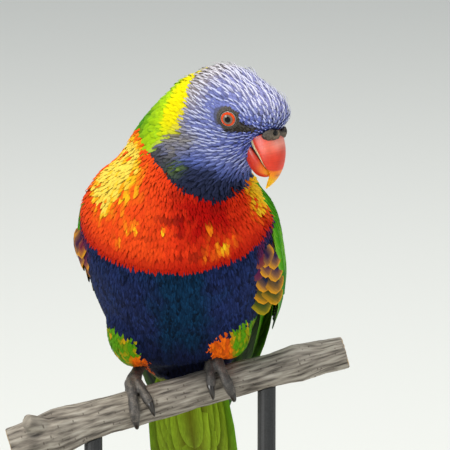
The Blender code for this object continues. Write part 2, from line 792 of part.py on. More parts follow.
def toe_line(side, tip_degrees, spread, radius):
    """Middle line and radii of a toe, from the foot's sole round the branch."""
    centres, radii = [], []
    joints = 6
    for k in range(joints + 1):
        share = k / joints
        pad = 1 + 0.10 * math.sin(math.pi * 3 * share + 0.6)
        size = radius * (1.08 - 0.28 * share) * pad
        degrees = tip_degrees * (0.03 + 0.97 * share)
        spread_now = side * spread * (0.25 + 0.75 * share)
        centres.append(round_branch(side, degrees, PERCH_RADIUS + 0.78 * size, spread_now))
        radii.append(size)
    return centres, radii


def leg_drop(side):
    """How much the branch's tilt raises or lowers a foot."""
    return foot_frame(side)[0].z


def belly_groove():
    """Round cutter along the branch that keeps the belly clear of the toes and the bark."""
    axis = perch_axis()
    bm = bmesh.new()
    tube(bm, [axis * -45, axis * 45], [GRIP_CLEARANCE] * 2, 20)
    return mesh_object("groove_cutter", bm)


def foot(name, side, branch):
    """Shank and four toes, two forward and two back, gripping the branch."""
    _, axis, forward, up = foot_frame(side)
    sole = round_branch(side, -4, PERCH_RADIUS + 2.2, 0)
    x, y, z, _ = THIGH[-1]
    ankle = Vector((x * side, y, z + leg_drop(side)))
    bm = bmesh.new()
    line = [
        ankle + Vector((0, 2.0, 3.5)),
        ankle,
        ankle.lerp(sole, 0.5) + up * 0.3,
        sole + up * 0.4,
        sole - forward * 0.4 - up * 1.2,
    ]
    tube(bm, line, [SHANK_RADIUS * share for share in (0.9, 1.0, 0.95, 1.25, 0.55)], 10, 1.0, forward)
    pieces = [mesh_object("shank", bm)]
    for _, degrees, spread, size in TOES:
        centres, radii = toe_line(side, degrees, spread, size)
        bm = bmesh.new()
        tube(bm, centres, radii, 6, 0.92, axis)
        pieces.append(mesh_object("toe", bm))
    whole = join_pieces(name, pieces)
    cut(whole, [grown(branch)])
    return whole


def claw(name, side, toe, foot_solid, branch):
    """Curved, tapered claw that carries a toe's line on and turns in to the bark."""
    _, degrees, spread, size = toe
    turn = math.copysign(1.0, degrees)
    bm = bmesh.new()
    centres, radii = [], []
    for k in range(6):
        share = k / 5
        angle = degrees + turn * math.degrees(CLAW_LENGTH * share / (PERCH_RADIUS + 1.5)) - turn * 9
        reach = PERCH_RADIUS + 1.35 + 1.3 * math.sin(math.pi * (0.15 + 0.8 * share)) - 0.55 * share
        centres.append(round_branch(side, angle, reach, side * spread * (0.98 + 0.1 * share)))
        radii.append(CLAW_RADIUS * (1 - share) ** 0.75 + 0.14)
    tube(bm, centres, radii, 6, 1.15, foot_frame(side)[1])
    piece = mesh_object(name, bm)
    cut(piece, [grown(foot_solid, 0.2), grown(branch, 0.2)], solver="MANIFOLD")
    return piece


def thigh(name, side, sole):
    """Feathered thigh, from the belly down to the ankle."""
    drop = leg_drop(side)
    bm = bmesh.new()
    steps = 2 * (len(THIGH) - 1)
    centres, radii = [], []
    for i in range(steps + 1):
        x, y, z, radius = spline(THIGH, i / 2)
        centres.append(Vector((x * side, y, z + drop * (i / steps))))
        radii.append(radius)
    tube(bm, centres, radii, 14, 1.0, Vector((0, 1, 0.2)))
    solid = mesh_object(name, bm)
    room = grown(solid)
    cut(solid, [grown(sole)], solver="MANIFOLD")
    return solid, room


def base_board():
    """Flat base with rounded corners and a bevelled upper edge."""
    bm = bmesh.new()
    corners = []
    for turn in range(4):
        for k in range(6):
            angle = math.pi / 2 * (turn + k / 5)
            middle = math.pi / 2 * (turn + 0.5)
            x = math.copysign(BASE_WIDTH / 2 - BASE_CORNER, math.cos(middle))
            y = math.copysign(BASE_DEPTH / 2 - BASE_CORNER, math.sin(middle))
            corner = Vector((math.cos(angle), math.sin(angle), 0)) * BASE_CORNER
            corners.append(Vector((x, y, 0)) + corner)
    rings = []
    third = BASE_BEVEL / 3
    for inset, drop in ((0, BASE_THICKNESS), (0, BASE_BEVEL), (third, third), (BASE_BEVEL, 0)):
        height = BASE_THICKNESS - drop
        shrink_x = 1 - 2 * inset / BASE_WIDTH
        shrink_y = 1 - 2 * inset / BASE_DEPTH
        rings.append([Vector((p.x * shrink_x, p.y * shrink_y, height)) - PERCH_POINT for p in corners])
    loft(bm, rings)
    return mesh_object("stand_base", bm)


def rod(name, x, branch):
    """Upright rod from the base to the branch's underside, with a low collar at its foot."""
    axis = perch_axis()
    top = axis * (x / axis.x)
    foot_z = BASE_THICKNESS - PERCH_POINT.z + TOUCH_GAP
    rings = []
    collar = ((0, COLLAR_RADIUS), (1.6, COLLAR_RADIUS), (2.4, COLLAR_RADIUS - 0.9), (2.6, ROD_RADIUS))
    for height, radius in (*collar, (top.z - foot_z, ROD_RADIUS)):
        centre = Vector((top.x, top.y, foot_z + height))
        rings.append(egg_ring(centre, Vector((1, 0, 0)), Vector((0, 1, 0)), radius, radius, radius, 18))
    bm = bmesh.new()
    loft(bm, rings)
    piece = mesh_object(name, bm)
    cut(piece, [grown(branch)])
    return piece


def finish(obj, finish_name):
    """Moves a part from the perch point's frame to the world in metres, and gives it its material."""
    obj.data.transform(Matrix.Scale(MILLIMETRE, 4) @ Matrix.Translation(PERCH_POINT))
    colour, roughness, metallic = FINISHES[finish_name]
    material = bpy.data.materials.get(finish_name) or bpy.data.materials.new(finish_name)
    material.use_nodes = True
    shader = material.node_tree.nodes["Principled BSDF"]
    shader.inputs["Base Color"].default_value = (*colour, 1)
    shader.inputs["Roughness"].default_value = roughness
    shader.inputs["Metallic"].default_value = metallic
    material.diffuse_color = (*colour, 1)
    obj.data.materials.clear()
    obj.data.materials.append(material)
    obj.data.shade_smooth()
    obj.data.set_sharp_from_angle(angle=math.radians(40))


def parted(blank):
    """Torso, neck and head: the fused body parted by three thin plane cuts."""
    root, root_normal = NECK_ROOT_CUT[0], NECK_ROOT_CUT[1].normalized()
    front, front_normal = HEAD_CUT[0], HEAD_CUT[1].normalized()
    half = TOUCH_GAP / 2
    below = kept_side(blank, "below", root - root_normal * half, -root_normal)
    along, _ = tail_axes()
    torso = kept_side(below, "torso", TAIL_ROOT + along * 1.5, -along)
    above = kept_side(blank, "above", root + root_normal * half, root_normal)
    head = kept_side(above, "head", front + front_normal * half, front_normal)
    neck = kept_side(above, "neck", front - front_normal * half, -front_normal)
    for used in (blank, below, above):
        bpy.data.objects.remove(used)
    for part in (torso, neck, head):
        keep_largest(part)
    return torso, neck, head


def with_lids(plain_head):
    """The head with a lid ring and a socket for each eye."""
    head = join_pieces("head", [plain_head, lid_ring(-1), lid_ring(1)])
    cut(head, [eyeball("socket", side, EYE_RADIUS + TOUCH_GAP) for side in (-1, 1)])
    return head


def copy_of(obj):
    twin = obj.copy()
    twin.data = obj.data.copy()
    bpy.context.scene.collection.objects.link(twin)
    return twin


def bill_and_cere(clearance):
    """Upper and lower mandible and the cere, each cut clear of the face and of its neighbours."""
    upper = mandible("bill_upper", UPPER_BILL, 0)
    lower = mandible("bill_lower", LOWER_BILL, 1)
    cere, bores = cere_block()
    cut(upper, [copy_of(clearance), grown(cere)])
    cut(lower, [copy_of(clearance), grown(upper)])
    cut(cere, [clearance, *bores])
    return upper, lower, cere


def main():
    """Builds every part and gives it its material."""
    for obj in list(bpy.data.objects):
        bpy.data.objects.remove(obj)
    rng = random.Random(SEED)

    torso, neck, head = parted(body_blank())
    clearance = grown(head)
    head = with_lids(head)
    upper, lower, cere = bill_and_cere(clearance)
    eyes = [eyeball("eye_left", 1, EYE_RADIUS), eyeball("eye_right", -1, EYE_RADIUS)]
    branch = perch(rng)
    rods = [rod("stand_rod_left", ROD_X, branch), rod("stand_rod_right", -ROD_X, branch)]
    feet, thighs, claws, wings = [], [], [], []
    trunk_room = grown(torso)
    tail_solid = tail(rng)
    cut(tail_solid, [copy_of(trunk_room)])
    cut(torso, [belly_groove()])
    for word, side in (("left", 1), ("right", -1)):
        sole = foot("foot_" + word, side, branch)
        leg, leg_room = thigh("thigh_" + word, side, sole)
        claws += [claw(f"claw_{word}_{toe[0]}", side, toe, sole, branch) for toe in TOES]
        wings.append(wing("wing_" + word, side, [copy_of(trunk_room), copy_of(leg_room)], rng))
        cut(torso, [leg_room, grown(sole)], solver="MANIFOLD")
        thighs.append(leg)
        feet.append(sole)
    bpy.data.objects.remove(trunk_room)
    tidied(torso, FLAT_ENOUGH)
    tidied(tail_solid, FLAT_ENOUGH)

    looks = (
        ([torso], "breast"),
        ([neck], "nape"),
        ([head], "hood"),
        ([upper, lower], "bill"),
        ([cere], "cere"),
        (eyes, "eye"),
        (wings, "green"),
        ([tail_solid], "green"),
        (thighs, "thigh"),
        (feet, "scale"),
        (claws, "claw"),
        ([branch], "bark"),
        ([base_board()], "board"),
        (rods, "steel"),
    )
    for objects, finish_name in looks:
        for obj in objects:
            finish(obj, finish_name)


main()
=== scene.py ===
"""Looks of the rainbow lorikeet on its stand: skin, plumage, eyes, bill, feet, branch, board and studio.

Shapes are worked out in millimetres from the perch point, on the branch's axis midway between the feet, and
are turned to metres when their mesh is made. The bird's left is +X, its breast faces -Y and +Z is up.
"""

import functools
import math

import bmesh
import bpy
import numpy as np
from bpy.props import FloatProperty, FloatVectorProperty, PointerProperty
from bpy.types import Operator, Panel, PropertyGroup
from mathutils import Matrix, Vector, noise
from mathutils.bvhtree import BVHTree


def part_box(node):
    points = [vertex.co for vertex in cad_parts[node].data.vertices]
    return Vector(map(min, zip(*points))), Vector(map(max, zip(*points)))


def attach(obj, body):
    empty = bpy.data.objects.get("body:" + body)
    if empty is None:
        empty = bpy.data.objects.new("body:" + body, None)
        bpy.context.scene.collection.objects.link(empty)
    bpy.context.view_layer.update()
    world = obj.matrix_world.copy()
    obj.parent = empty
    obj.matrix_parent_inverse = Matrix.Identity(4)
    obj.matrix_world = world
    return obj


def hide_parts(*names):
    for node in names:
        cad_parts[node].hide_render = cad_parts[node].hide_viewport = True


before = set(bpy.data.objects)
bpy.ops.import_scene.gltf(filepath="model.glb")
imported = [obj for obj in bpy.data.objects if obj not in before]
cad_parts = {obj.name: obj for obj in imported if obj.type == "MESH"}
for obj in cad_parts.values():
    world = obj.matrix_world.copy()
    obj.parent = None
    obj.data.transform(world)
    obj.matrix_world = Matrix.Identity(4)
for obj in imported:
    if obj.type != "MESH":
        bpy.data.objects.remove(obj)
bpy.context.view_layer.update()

bl_info = {
    "name": "Rainbow Lorikeet Looks",
    "version": (1, 0, 0),
    "blender": (4, 5, 0),
    "location": "3D View > Sidebar > Lorikeet",
    "description": "Dresses the lorikeet's solids in skin, plumage, eyes, bill, feet, branch and stand",
    "category": "Object",
}

MM = 0.001
SEED = 20
KERATIN_IOR = 1.54
PERCH = np.array((0.0, -8.0, 106.0))
X_AXIS = np.array((1.0, 0.0, 0.0))
Z_AXIS = np.array((0.0, 0.0, 1.0))


def srgb(code):
    """Linear colour of an sRGB hex value."""
    parts = np.array([int(code[i : i + 2], 16) / 255 for i in (1, 3, 5)])
    return np.where(parts <= 0.04045, parts / 12.92, ((parts + 0.055) / 1.055) ** 2.4)


def unit(vectors):
    """Vectors of an array scaled to length one."""
    length = np.linalg.norm(vectors, axis=-1, keepdims=True)
    return vectors / np.maximum(length, 1e-9)


def step(value):
    """Smooth step from 0 to 1 of an array or a number."""
    value = np.clip(value, 0.0, 1.0)
    return value * value * (3 - 2 * value)


def near(points, centre, radius):
    """1 at a centre, falling off to 0 over about twice the radius."""
    return np.exp(-(((points - np.array(centre)) ** 2).sum(-1)) / radius**2)


def blend(first, second, share):
    """Mix of two colours or arrays of colours by an array of shares."""
    share = np.asarray(share, float)[..., None]
    return np.asarray(first) * (1 - share) + np.asarray(second) * share


def rough_field(points, size, offset=0.0):
    """Smooth noise, about -1 to 1, with lumps of a size in millimetres."""
    places = (points / size + offset).tolist()
    return np.array([noise.noise(place) for place in places]) * 1.6


def node_middle(name):
    low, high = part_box(name)
    return np.array((low + high) / 2) / MM - PERCH


# The head's frame: f towards the bill, l to the bird's left and u up, from midway between the eyes.
HEAD_YAW = math.radians(62)
HEAD_PITCH = math.radians(27)
LEVEL = np.array((math.sin(HEAD_YAW), -math.cos(HEAD_YAW), 0.0))
FORWARD = LEVEL * math.cos(HEAD_PITCH) - Z_AXIS * math.sin(HEAD_PITCH)
LEFT = np.cross(Z_AXIS, LEVEL)
UP = np.cross(FORWARD, LEFT)
HEAD = (node_middle("eye_left") + node_middle("eye_right")) / 2
HEAD_AXES = np.array((FORWARD, LEFT, UP))
EYE_RADIUS = 4.3
EYE_TURN = math.radians(20)
# Middle of the bare face in the head's frame, from where the coat thickens and its feathers grow longer.
FACE = np.array((9.0, 0.0, -2.0))
# Middle of the left nostril in the head's frame.
NOSTRIL = np.array((14.2, 3.1, 0.9))
# Balls that fill the eye sockets of the skin: radius, and how far their middle lies behind the eye's.
SOCKET_RADIUS = 8.0
SOCKET_DEPTH = 5.6
# How far the feathered solids are grown before they are fused, and how far the skin lies under the coat.
FUSED_GROWTH = 0.32
SKIN_INSET = 0.25

# The oval that the folded wings follow, from the neck back: distance along the trunk's axis, half width,
# dorsal depth, rise, and the wing's lower and upper edge in degrees above the side.
WING = np.array(
    (
        (36, 30.5, 24, 2, 0, 34),
        (22, 35.8, 26.5, 1, -9, 46),
        (6, 37.4, 27.5, 0, -11, 60),
        (-12, 35.2, 26.5, 0, -10, 74),
        (-30, 31.2, 23.5, 1, -4, 82),
        (-48, 27.0, 19.5, 4, 4, 84),
        (-66, 22.5, 16.5, 7.5, 12, 82),
        (-84, 19.0, 14.2, 12, 20, 76),
        (-102, 15.8, 12.5, 16.5, 27, 66),
        (-120, 13.0, 11.0, 21, 33, 56),
    )
)
WING_TURN = 2.4
WING_POINT = np.array((0.0, -2.0, 45.0))
TRUNK_AXIS = unit(np.array((0.0, -0.56, 0.83)))
TRUNK_BACK = -np.cross(X_AXIS, TRUNK_AXIS)

TAIL_ROOT = np.array((0.0, 37.0, -3.0))
TAIL_INSIDE = 5.0
TAIL_PITCH = math.radians(50)
TAIL_ALONG = np.array((0.0, math.cos(TAIL_PITCH), -math.sin(TAIL_PITCH)))
TAIL_UP = np.array((0.0, math.sin(TAIL_PITCH), math.cos(TAIL_PITCH)))

# Linear colours of the plumage and the bare parts.
HOOD_BILL = srgb("#5262c8")
HOOD_CROWN = srgb("#9597cc")
HOOD_DARK = srgb("#47454f")
HOOD_STREAK = srgb("#c3cbf6")
CROWN_STREAK = srgb("#e2e3f6")
CROWN_REAR = srgb("#a09690")
THROAT = srgb("#232a46")
THROAT_BLUE = srgb("#5564a8")
CHEEK_OLIVE = srgb("#837d6e")
COLLAR_GREEN = srgb("#b2da12")
GREEN_DARK = srgb("#1c5a0c")
GREEN_LIGHT = srgb("#8fce32")
BREAST_DEEP = srgb("#b40a04")
BREAST_DARK = srgb("#5c0604")
BREAST_ORANGE = srgb("#ff7410")
BREAST_YELLOW = srgb("#ffc61a")
# Palest yellow of the yellow areas, laid mostly on the right shoulder where the key light falls: partly own
# colour, partly painted light.
BREAST_PALE_AND_LIT = srgb("#ffdf55")
BELLY_TEAL = srgb("#0a3050")
BELLY_DARK = srgb("#090d20")
FLANK_PURPLE = srgb("#7d1c4c")
FLANK_GOLD = srgb("#f0a41c")
FLANK_GREEN = srgb("#1f5a2c")
THIGH_GREEN = srgb("#5a9a0e")
THIGH_GOLD = srgb("#c9b412")
THIGH_RED = srgb("#dc3410")
VENT = srgb("#a9b42a")
BARE_SKIN = srgb("#2f2a25")
BARE_LIGHT = srgb("#6e6455")


def settings():
    return bpy.context.scene.lorikeet_looks


def own_colour(name):
    """A colour from the panel's settings."""
    return np.array(getattr(settings(), name))


def in_head(points):
    """Head coordinates f, l, u of points."""
    return (points - HEAD) @ HEAD_AXES.T


def folded(points):
    """Head coordinates with the right side turned over onto the left."""
    h = in_head(points)
    h[:, 1] = np.abs(h[:, 1])
    return h


def from_head(f, l, u):
    return HEAD + FORWARD * f + LEFT * l + UP * u


def eye_line(side):
    """Centre of an eye and the direction it looks in, for side 1 (left) or -1 (right)."""
    centre = node_middle("eye_left" if side > 0 else "eye_right")
    gaze = LEFT * (side * math.cos(EYE_TURN)) + FORWARD * math.sin(EYE_TURN)
    return centre, gaze


def eye_axes(gaze):
    """Directions across and up over an eye, square to its line of sight."""
    across = unit(np.cross(gaze, Z_AXIS))
    return across, np.cross(across, gaze)


def off_sight(points, centre, gaze):
    """How far points lie in front of an eye's middle, and how far from its line of sight."""
    away = points - centre
    forward = away @ gaze
    return forward, np.linalg.norm(away - forward[:, None] * gaze, axis=1)


def catmull(table, position):
    """Rows at fractional positions in a table, on a Catmull-Rom curve through its rows."""
    table = np.asarray(table, float)
    last = len(table) - 1
    position = np.clip(np.atleast_1d(np.asarray(position, float)), 0, last)
    i = np.minimum(position.astype(int), last - 1)
    t = (position - i)[:, None]
    a, b, c, d = (table[np.clip(i + k, 0, last)] for k in (-1, 0, 1, 2))
    cubic = (2 * a - 5 * b + 4 * c - d) * t * t + (3 * b - a - 3 * c + d) * t**3
    return 0.5 * (2 * b + (c - a) * t + cubic)


WING_PLACES = np.linspace(0, len(WING) - 1, 20 * len(WING))
WING_KEYS = np.interp(WING_PLACES, np.arange(len(WING)), WING[:, 0])[::-1]
WING_ROWS_DENSE = catmull(WING, WING_PLACES)[::-1]


def wing_row(along):
    """Half width, depth, rise, low and high edge of the wings' oval at places along the trunk's axis."""
    return [np.interp(along, WING_KEYS, WING_ROWS_DENSE[:, k]) for k in range(1, 6)]


def wing_centre(along):
    rise = wing_row(along)[2]
    turn = WING_TURN * step((14 - along) / 30) * step((78 + along) / 42)
    along, rise, turn = (np.asarray(v)[..., None] for v in (along, rise, turn))
    return WING_POINT + TRUNK_AXIS * along + TRUNK_BACK * rise + X_AXIS * turn


def wing_surface(side, along, share, lift):
    """Points over the folded wing at shares of its height, and the directions outwards there."""
    half, depth, _, low, high = wing_row(along)
    angle = np.radians(low + (high - low) * share)
    across, back = np.cos(angle), np.sin(angle)
    out = (side * across / half)[..., None] * X_AXIS + (back / depth)[..., None] * TRUNK_BACK
    out = unit(out)
    place = wing_centre(along) + (side * half * across)[..., None] * X_AXIS
    place = place + (depth * back)[..., None] * TRUNK_BACK
    return place + out * np.asarray(lift)[..., None], out


def wing_place(points):
    """Where points lie against the wings' oval: along, degrees above the side, and the wing's edges there."""
    along = (points - WING_POINT) @ TRUNK_AXIS
    half, depth, _, low, high = wing_row(along)
    away = points - wing_centre(along)
    side = np.abs(away[:, 0]) / half
    height = (away @ TRUNK_BACK) / depth
    return along, np.degrees(np.arctan2(height, side)), low, high


# Objects and meshes


def finished(name, mesh, material, replaced=()):
    """Object of a mesh in metres, riding on the frame, with the nodes it stands for hidden."""
    mesh.materials.append(material)
    piece = bpy.data.objects.new(name, mesh)
    bpy.context.scene.collection.objects.link(piece)
    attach(piece, "root")
    if replaced:
        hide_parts(*replaced)


def mesh_in_metres(name, bm):
    """Smooth mesh of a bmesh that is in millimetres from the perch point."""
    bmesh.ops.transform(bm, matrix=Matrix.Scale(MM, 4) @ Matrix.Translation(Vector(PERCH)), verts=bm.verts)
    mesh = bpy.data.meshes.new(name)
    bm.to_mesh(mesh)
    bm.free()
    mesh.shade_smooth()
    return mesh


def node_copy(names, growth=0.0):
    """Bmesh of CAD nodes with their loose triangles merged, in millimetres from the perch point."""
    bm = bmesh.new()
    for name in names:
        bm.from_mesh(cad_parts[name].data)
    bmesh.ops.remove_doubles(bm, verts=bm.verts, dist=2e-6)
    back = Matrix.Translation(-Vector(PERCH)) @ Matrix.Scale(1 / MM, 4)
    bmesh.ops.transform(bm, matrix=back, verts=bm.verts)
    bm.normal_update()
    for vertex, move in [(vertex, vertex.normal * growth) for vertex in bm.verts]:
        vertex.co += move
    return bm


def tree_of(names):
    bm = node_copy(names)
    tree = BVHTree.FromBMesh(bm)
    bm.free()
    return tree


def places_of(bm):
    """Places and normals of a bmesh's vertices."""
    bm.normal_update()
    return np.array([vertex.co for vertex in bm.verts]), np.array([vertex.normal for vertex in bm.verts])


def move_to(bm, places):
    for vertex, place in zip(bm.verts, places.tolist()):
        vertex.co = place


def one_surface(bm, voxel, rounds):
    """Fuses the closed shapes of a bmesh into one smooth surface and returns it as a new bmesh."""
    mesh = bpy.data.meshes.new("rough")
    bm.to_mesh(mesh)
    bm.free()
    rough = bpy.data.objects.new("rough", mesh)
    bpy.context.scene.collection.objects.link(rough)
    remesh = rough.modifiers.new("fuse", "REMESH")
    remesh.mode = "VOXEL"
    remesh.voxel_size = voxel
    soften = rough.modifiers.new("soften", "SMOOTH")
    soften.factor = 0.5
    soften.iterations = rounds
    graph = bpy.context.evaluated_depsgraph_get()
    graph.update()
    fused = bmesh.new()
    fused.from_mesh(rough.evaluated_get(graph).data)
    bpy.data.objects.remove(rough)
    bpy.data.meshes.remove(mesh)
    return fused


def set_colours(mesh, name, colours):
    """Stores a linear colour for each vertex."""
    layer = mesh.color_attributes.new(name=name, type="FLOAT_COLOR", domain="POINT")
    values = np.ones((len(colours), 4), np.float32)
    values[:, :3] = colours
    layer.data.foreach_set("color", values.ravel())


def set_uv(mesh, name, values, period=0.0):
    """Stores a UV place for each vertex. A period keeps the faces whole that cross the seam of a turn."""
    layer = mesh.uv_layers.new(name=name)
    loops = np.zeros(len(mesh.loops), np.int32)
    mesh.loops.foreach_get("vertex_index", loops)
    corners = values[loops]
    if period:
        starts = np.zeros(len(mesh.polygons), np.int32)
        mesh.polygons.foreach_get("loop_start", starts)
        owner = np.zeros(len(loops), np.int32)
        owner[starts[1:]] = 1
        first = corners[starts][np.cumsum(owner)]
        corners[:, 0] -= period * np.round((corners[:, 0] - first[:, 0]) / period)
    layer.data.foreach_set("uv", corners.astype(np.float32).ravel())


# Nodes of the materials


def plug(tree, node, sockets):
    """Sets sockets of a node, each to a value or to another node's output."""
    for socket, value in sockets.items():
        if isinstance(value, bpy.types.NodeSocket):
            tree.links.new(value, node.inputs[socket])
        else:
            node.inputs[socket].default_value = value


def add(tree, kind, sockets, output=0, stops=(), **settings):
    """Adds a node with its settings and returns one of its outputs. stops are a ramp's places and colours."""
    made = tree.nodes.new(kind)
    for name, value in settings.items():
        setattr(made, name, value)
    plug(tree, made, sockets)
    if stops:
        elements = made.color_ramp.elements
        while len(elements) < len(stops):
            elements.new(0.5)
        for element, (place, colour) in zip(elements, stops):
            element.position = place
            element.color = (*srgb(colour), 1)
    return made.outputs[output]


def new_material(name):
    """Material with a lone Principled shader, and its node tree."""
    material = bpy.data.materials.new(name)
    material.use_nodes = True
    return material, material.node_tree, material.node_tree.nodes["Principled BSDF"]


# Feather keratin, grown as barbs side by side on a shaft. The barbs give the eye fine streaks along the
# vane and the gaps between locked barbs give short dark splits. Real barbs stand 0.15 to 0.3 mm apart, and
# these are drawn 0.45 mm apart so that they show.
@functools.cache
def feather_keratin(name, streak, split, roughness, gloss):
    material, tree, shader = new_material(name)
    colour = add(tree, "ShaderNodeAttribute", {}, attribute_name="Plumage")
    vane = add(tree, "ShaderNodeUVMap", {}, uv_map="Vane")
    barbs_at = add(tree, "ShaderNodeMapping", {"Vector": vane, "Scale": (2.2, 0.22, 1)})
    barbs = add(tree, "ShaderNodeTexNoise", {"Vector": barbs_at, "Scale": 1.0, "Detail": 2.0})
    lines = add(tree, "ShaderNodeMapRange", {0: barbs, 1: 0.3, 2: 0.7, 3: 1 - streak, 4: 1 + streak})
    gaps_at = add(tree, "ShaderNodeMapping", {"Vector": vane, "Scale": (3.2, 0.45, 1)})
    gaps = add(tree, "ShaderNodeTexNoise", {"Vector": gaps_at, "Scale": 1.0, "Detail": 1.0})
    splits = add(tree, "ShaderNodeMapRange", {0: gaps, 1: 0.68, 2: 0.74, 3: 1.0, 4: 1 - split})
    both = add(tree, "ShaderNodeMath", {0: lines, 1: splits}, operation="MULTIPLY")
    shaded = add(tree, "ShaderNodeVectorMath", {0: colour, "Scale": both}, operation="SCALE")
    relief = add(tree, "ShaderNodeBump", {"Height": both, "Strength": 0.5, "Distance": 0.00006})
    sockets = {"Base Color": shaded, "Normal": relief, "Roughness": roughness, "IOR": KERATIN_IOR}
    plug(tree, shader, {**sockets, "Specular IOR Level": gloss})
    return material


def silky_keratin():
    """Keratin of the small, silky feathers of the body."""
    return feather_keratin("contour_feather_keratin", streak=0.15, split=0.25, roughness=0.7, gloss=0.05)


# Skin under the coat, thin and granular. Its pores give a fine grain, drawn 0.5 mm apart so that it shows.
@functools.cache
def granular_skin():
    material, tree, shader = new_material("granular_bird_skin")
    colour = add(tree, "ShaderNodeAttribute", {}, attribute_name="Plumage")
    place = add(tree, "ShaderNodeTexCoord", {}, "Object")
    grain = add(tree, "ShaderNodeTexVoronoi", {"Vector": place, "Scale": 2000.0})
    shade = add(tree, "ShaderNodeMapRange", {0: grain, 1: 0.0, 2: 0.7, 3: 1.15, 4: 0.6})
    shaded = add(tree, "ShaderNodeVectorMath", {0: colour, "Scale": shade}, operation="SCALE")
    relief = add(tree, "ShaderNodeBump", {"Height": shade, "Strength": 0.6, "Distance": 0.0001})
    plug(tree, shader, {"Base Color": shaded, "Normal": relief, "Roughness": 0.62})
    return material


# Regions and markings of the bird

# Rear edge of the hood and outer edge of the collar: f at heights u.
HOOD_REAR = (
    (-27, -19.0), (-23.6, -18.2), (-19, -16.5), (-13.7, -14.6), (-10.1, -15), (-4.2, -17.7), (-0.7, -20.7),
)
COLLAR_REAR = ((-23.6, -18.4), (-19.2, -18.8), (-16.2, -20.5), (-11.3, -23.6), (-6.9, -25.5), (-0.7, -29.0))


def edge_at(table, u):
    heights, places = zip(*table)
    return np.interp(u, heights, places)


def hood_floor(h):
    """Height u of the hood's lower edge round the neck."""
    turn = np.arctan2(h[:, 1] + 4, h[:, 0] + 6)
    return -32.0 + 6.3 * (1 - np.cos(turn + math.radians(46)))


def hood_margin(points):
    """How far points lie inside the hood's rear edge and above its lower edge, in millimetres."""
    h = in_head(points)
    return h[:, 0] - edge_at(HOOD_REAR, h[:, 2]), h[:, 2] - hood_floor(h)


def leg_height(points):
    """How far points lie under the upper edge of the thighs' feathering, in millimetres."""
    x, z = points[:, 0], points[:, 2]
    top = np.where(x < 0, 21.6 + 0.45 * (-x - 15.1), 21.5 + 0.6 * (np.minimum(x, 22.0) - 11.4))
    return top - z


def regions(points):
    """Region of each point: hood, nape, breast, belly, back or thigh."""
    along, angle, low, _ = wing_place(points)
    rear, floor = hood_margin(points)
    h = in_head(points)
    wave = rough_field(points, 5.0)
    names = np.full(len(points), "back", dtype="<U6")
    shoulder = 5.0 * step((along - 36) / 8) * step(-points[:, 0] / 6)
    frontal = (points - WING_POINT) @ TRUNK_BACK < 4.5 + shoulder + 0.8 * wave
    side_edge = 23.8 + 2.6 * step((angle + 30) / 30) + 0.5 * wave
    belly = (along < side_edge) & (angle < np.maximum(low + 4, -6))
    names[belly] = "belly"
    names[(along >= side_edge) & frontal & (along < 75)] = "breast"
    x, z = points[:, 0], points[:, 2]
    inner = np.where(x < 0, 14.5 - 4.5 * step((15 - z) / 3), 10.5) + 0.8 * wave
    leg = (leg_height(points) > 0.8 * wave) & (np.abs(x) > inner)
    names[leg & (points[:, 1] < 14)] = "thigh"
    nape = (floor > 0) & (rear <= 0)
    names[nape] = "back"
    names[nape & (h[:, 0] > edge_at(COLLAR_REAR, h[:, 2]))] = "nape"
    names[nape & (h[:, 1] > 0) & (z < 88)] = "breast"
    names[(floor > 0) & (rear > 0) & (np.linalg.norm(points - HEAD, axis=1) < 46)] = "hood"
    return names


def hood_colours(points, chance):
    """Vane, shaft and edge colours of hood feathers."""
    h = in_head(points)
    rear, floor = hood_margin(points)
    f, u = h[:, 0], h[:, 2]
    crown = step((u - 3) / 8)
    bill = step((f + 1) / 11) * step((u + 16) / 8) * step((6 - u) / 7)
    throat = step((-14 - u) / 9)
    patchy = rough_field(points, 4.0)
    vane = blend(own_colour("hood"), HOOD_CROWN, crown)
    vane = blend(vane, HOOD_BILL, 0.8 * bill)
    shaft = blend(HOOD_STREAK, CROWN_STREAK, crown)
    shaft = blend(shaft, vane * 1.5, 0.45 * bill)
    back_of_crown = step((-5 - f) / 9) * step((13 - rear) / 9) * step((u + 9) / 9)
    vane = blend(vane, CROWN_REAR, 0.85 * back_of_crown)
    shaft = blend(shaft, srgb("#e6e2e0"), 0.6 * back_of_crown)
    seam = step((4.5 - rear) / 4) * step((u + 17) / 5)
    vane = blend(vane, CROWN_REAR * 0.8, 0.7 * seam)
    shaft = blend(shaft, CROWN_REAR * 1.2, 0.6 * seam)
    deep = blend(THROAT_BLUE, THROAT, step((-18 - u) / 7 + 0.35 * patchy))
    vane = blend(vane, deep, throat)
    shaft = blend(shaft, deep * 1.35, step((-13 - u) / 8))
    olive = step((11.5 - rear) / 7) * step((-8 - u) / 8) * (0.8 + 0.25 * patchy)
    spot = near(h, (-7.8, -17.6, -25.0), 2.6)
    brown = blend(CHEEK_OLIVE, THROAT, 0.75 * step((-19 - u) / 6))
    vane = blend(blend(vane, brown, olive), COLLAR_GREEN, 0.3 * spot)
    shaft = blend(shaft, brown * 1.2, olive)
    rim = step((4.5 - floor) / 4.5) * step((-12 - u) / 6)
    vane = blend(vane, BELLY_DARK, 0.6 * rim)
    shaft = blend(shaft, THROAT, 0.9 * rim)
    light = (0.88 + 0.24 * chance)[:, None]
    edge = blend(vane * 0.72, HOOD_DARK, 0.3 * (1 - throat))
    return vane * light, shaft * light, edge


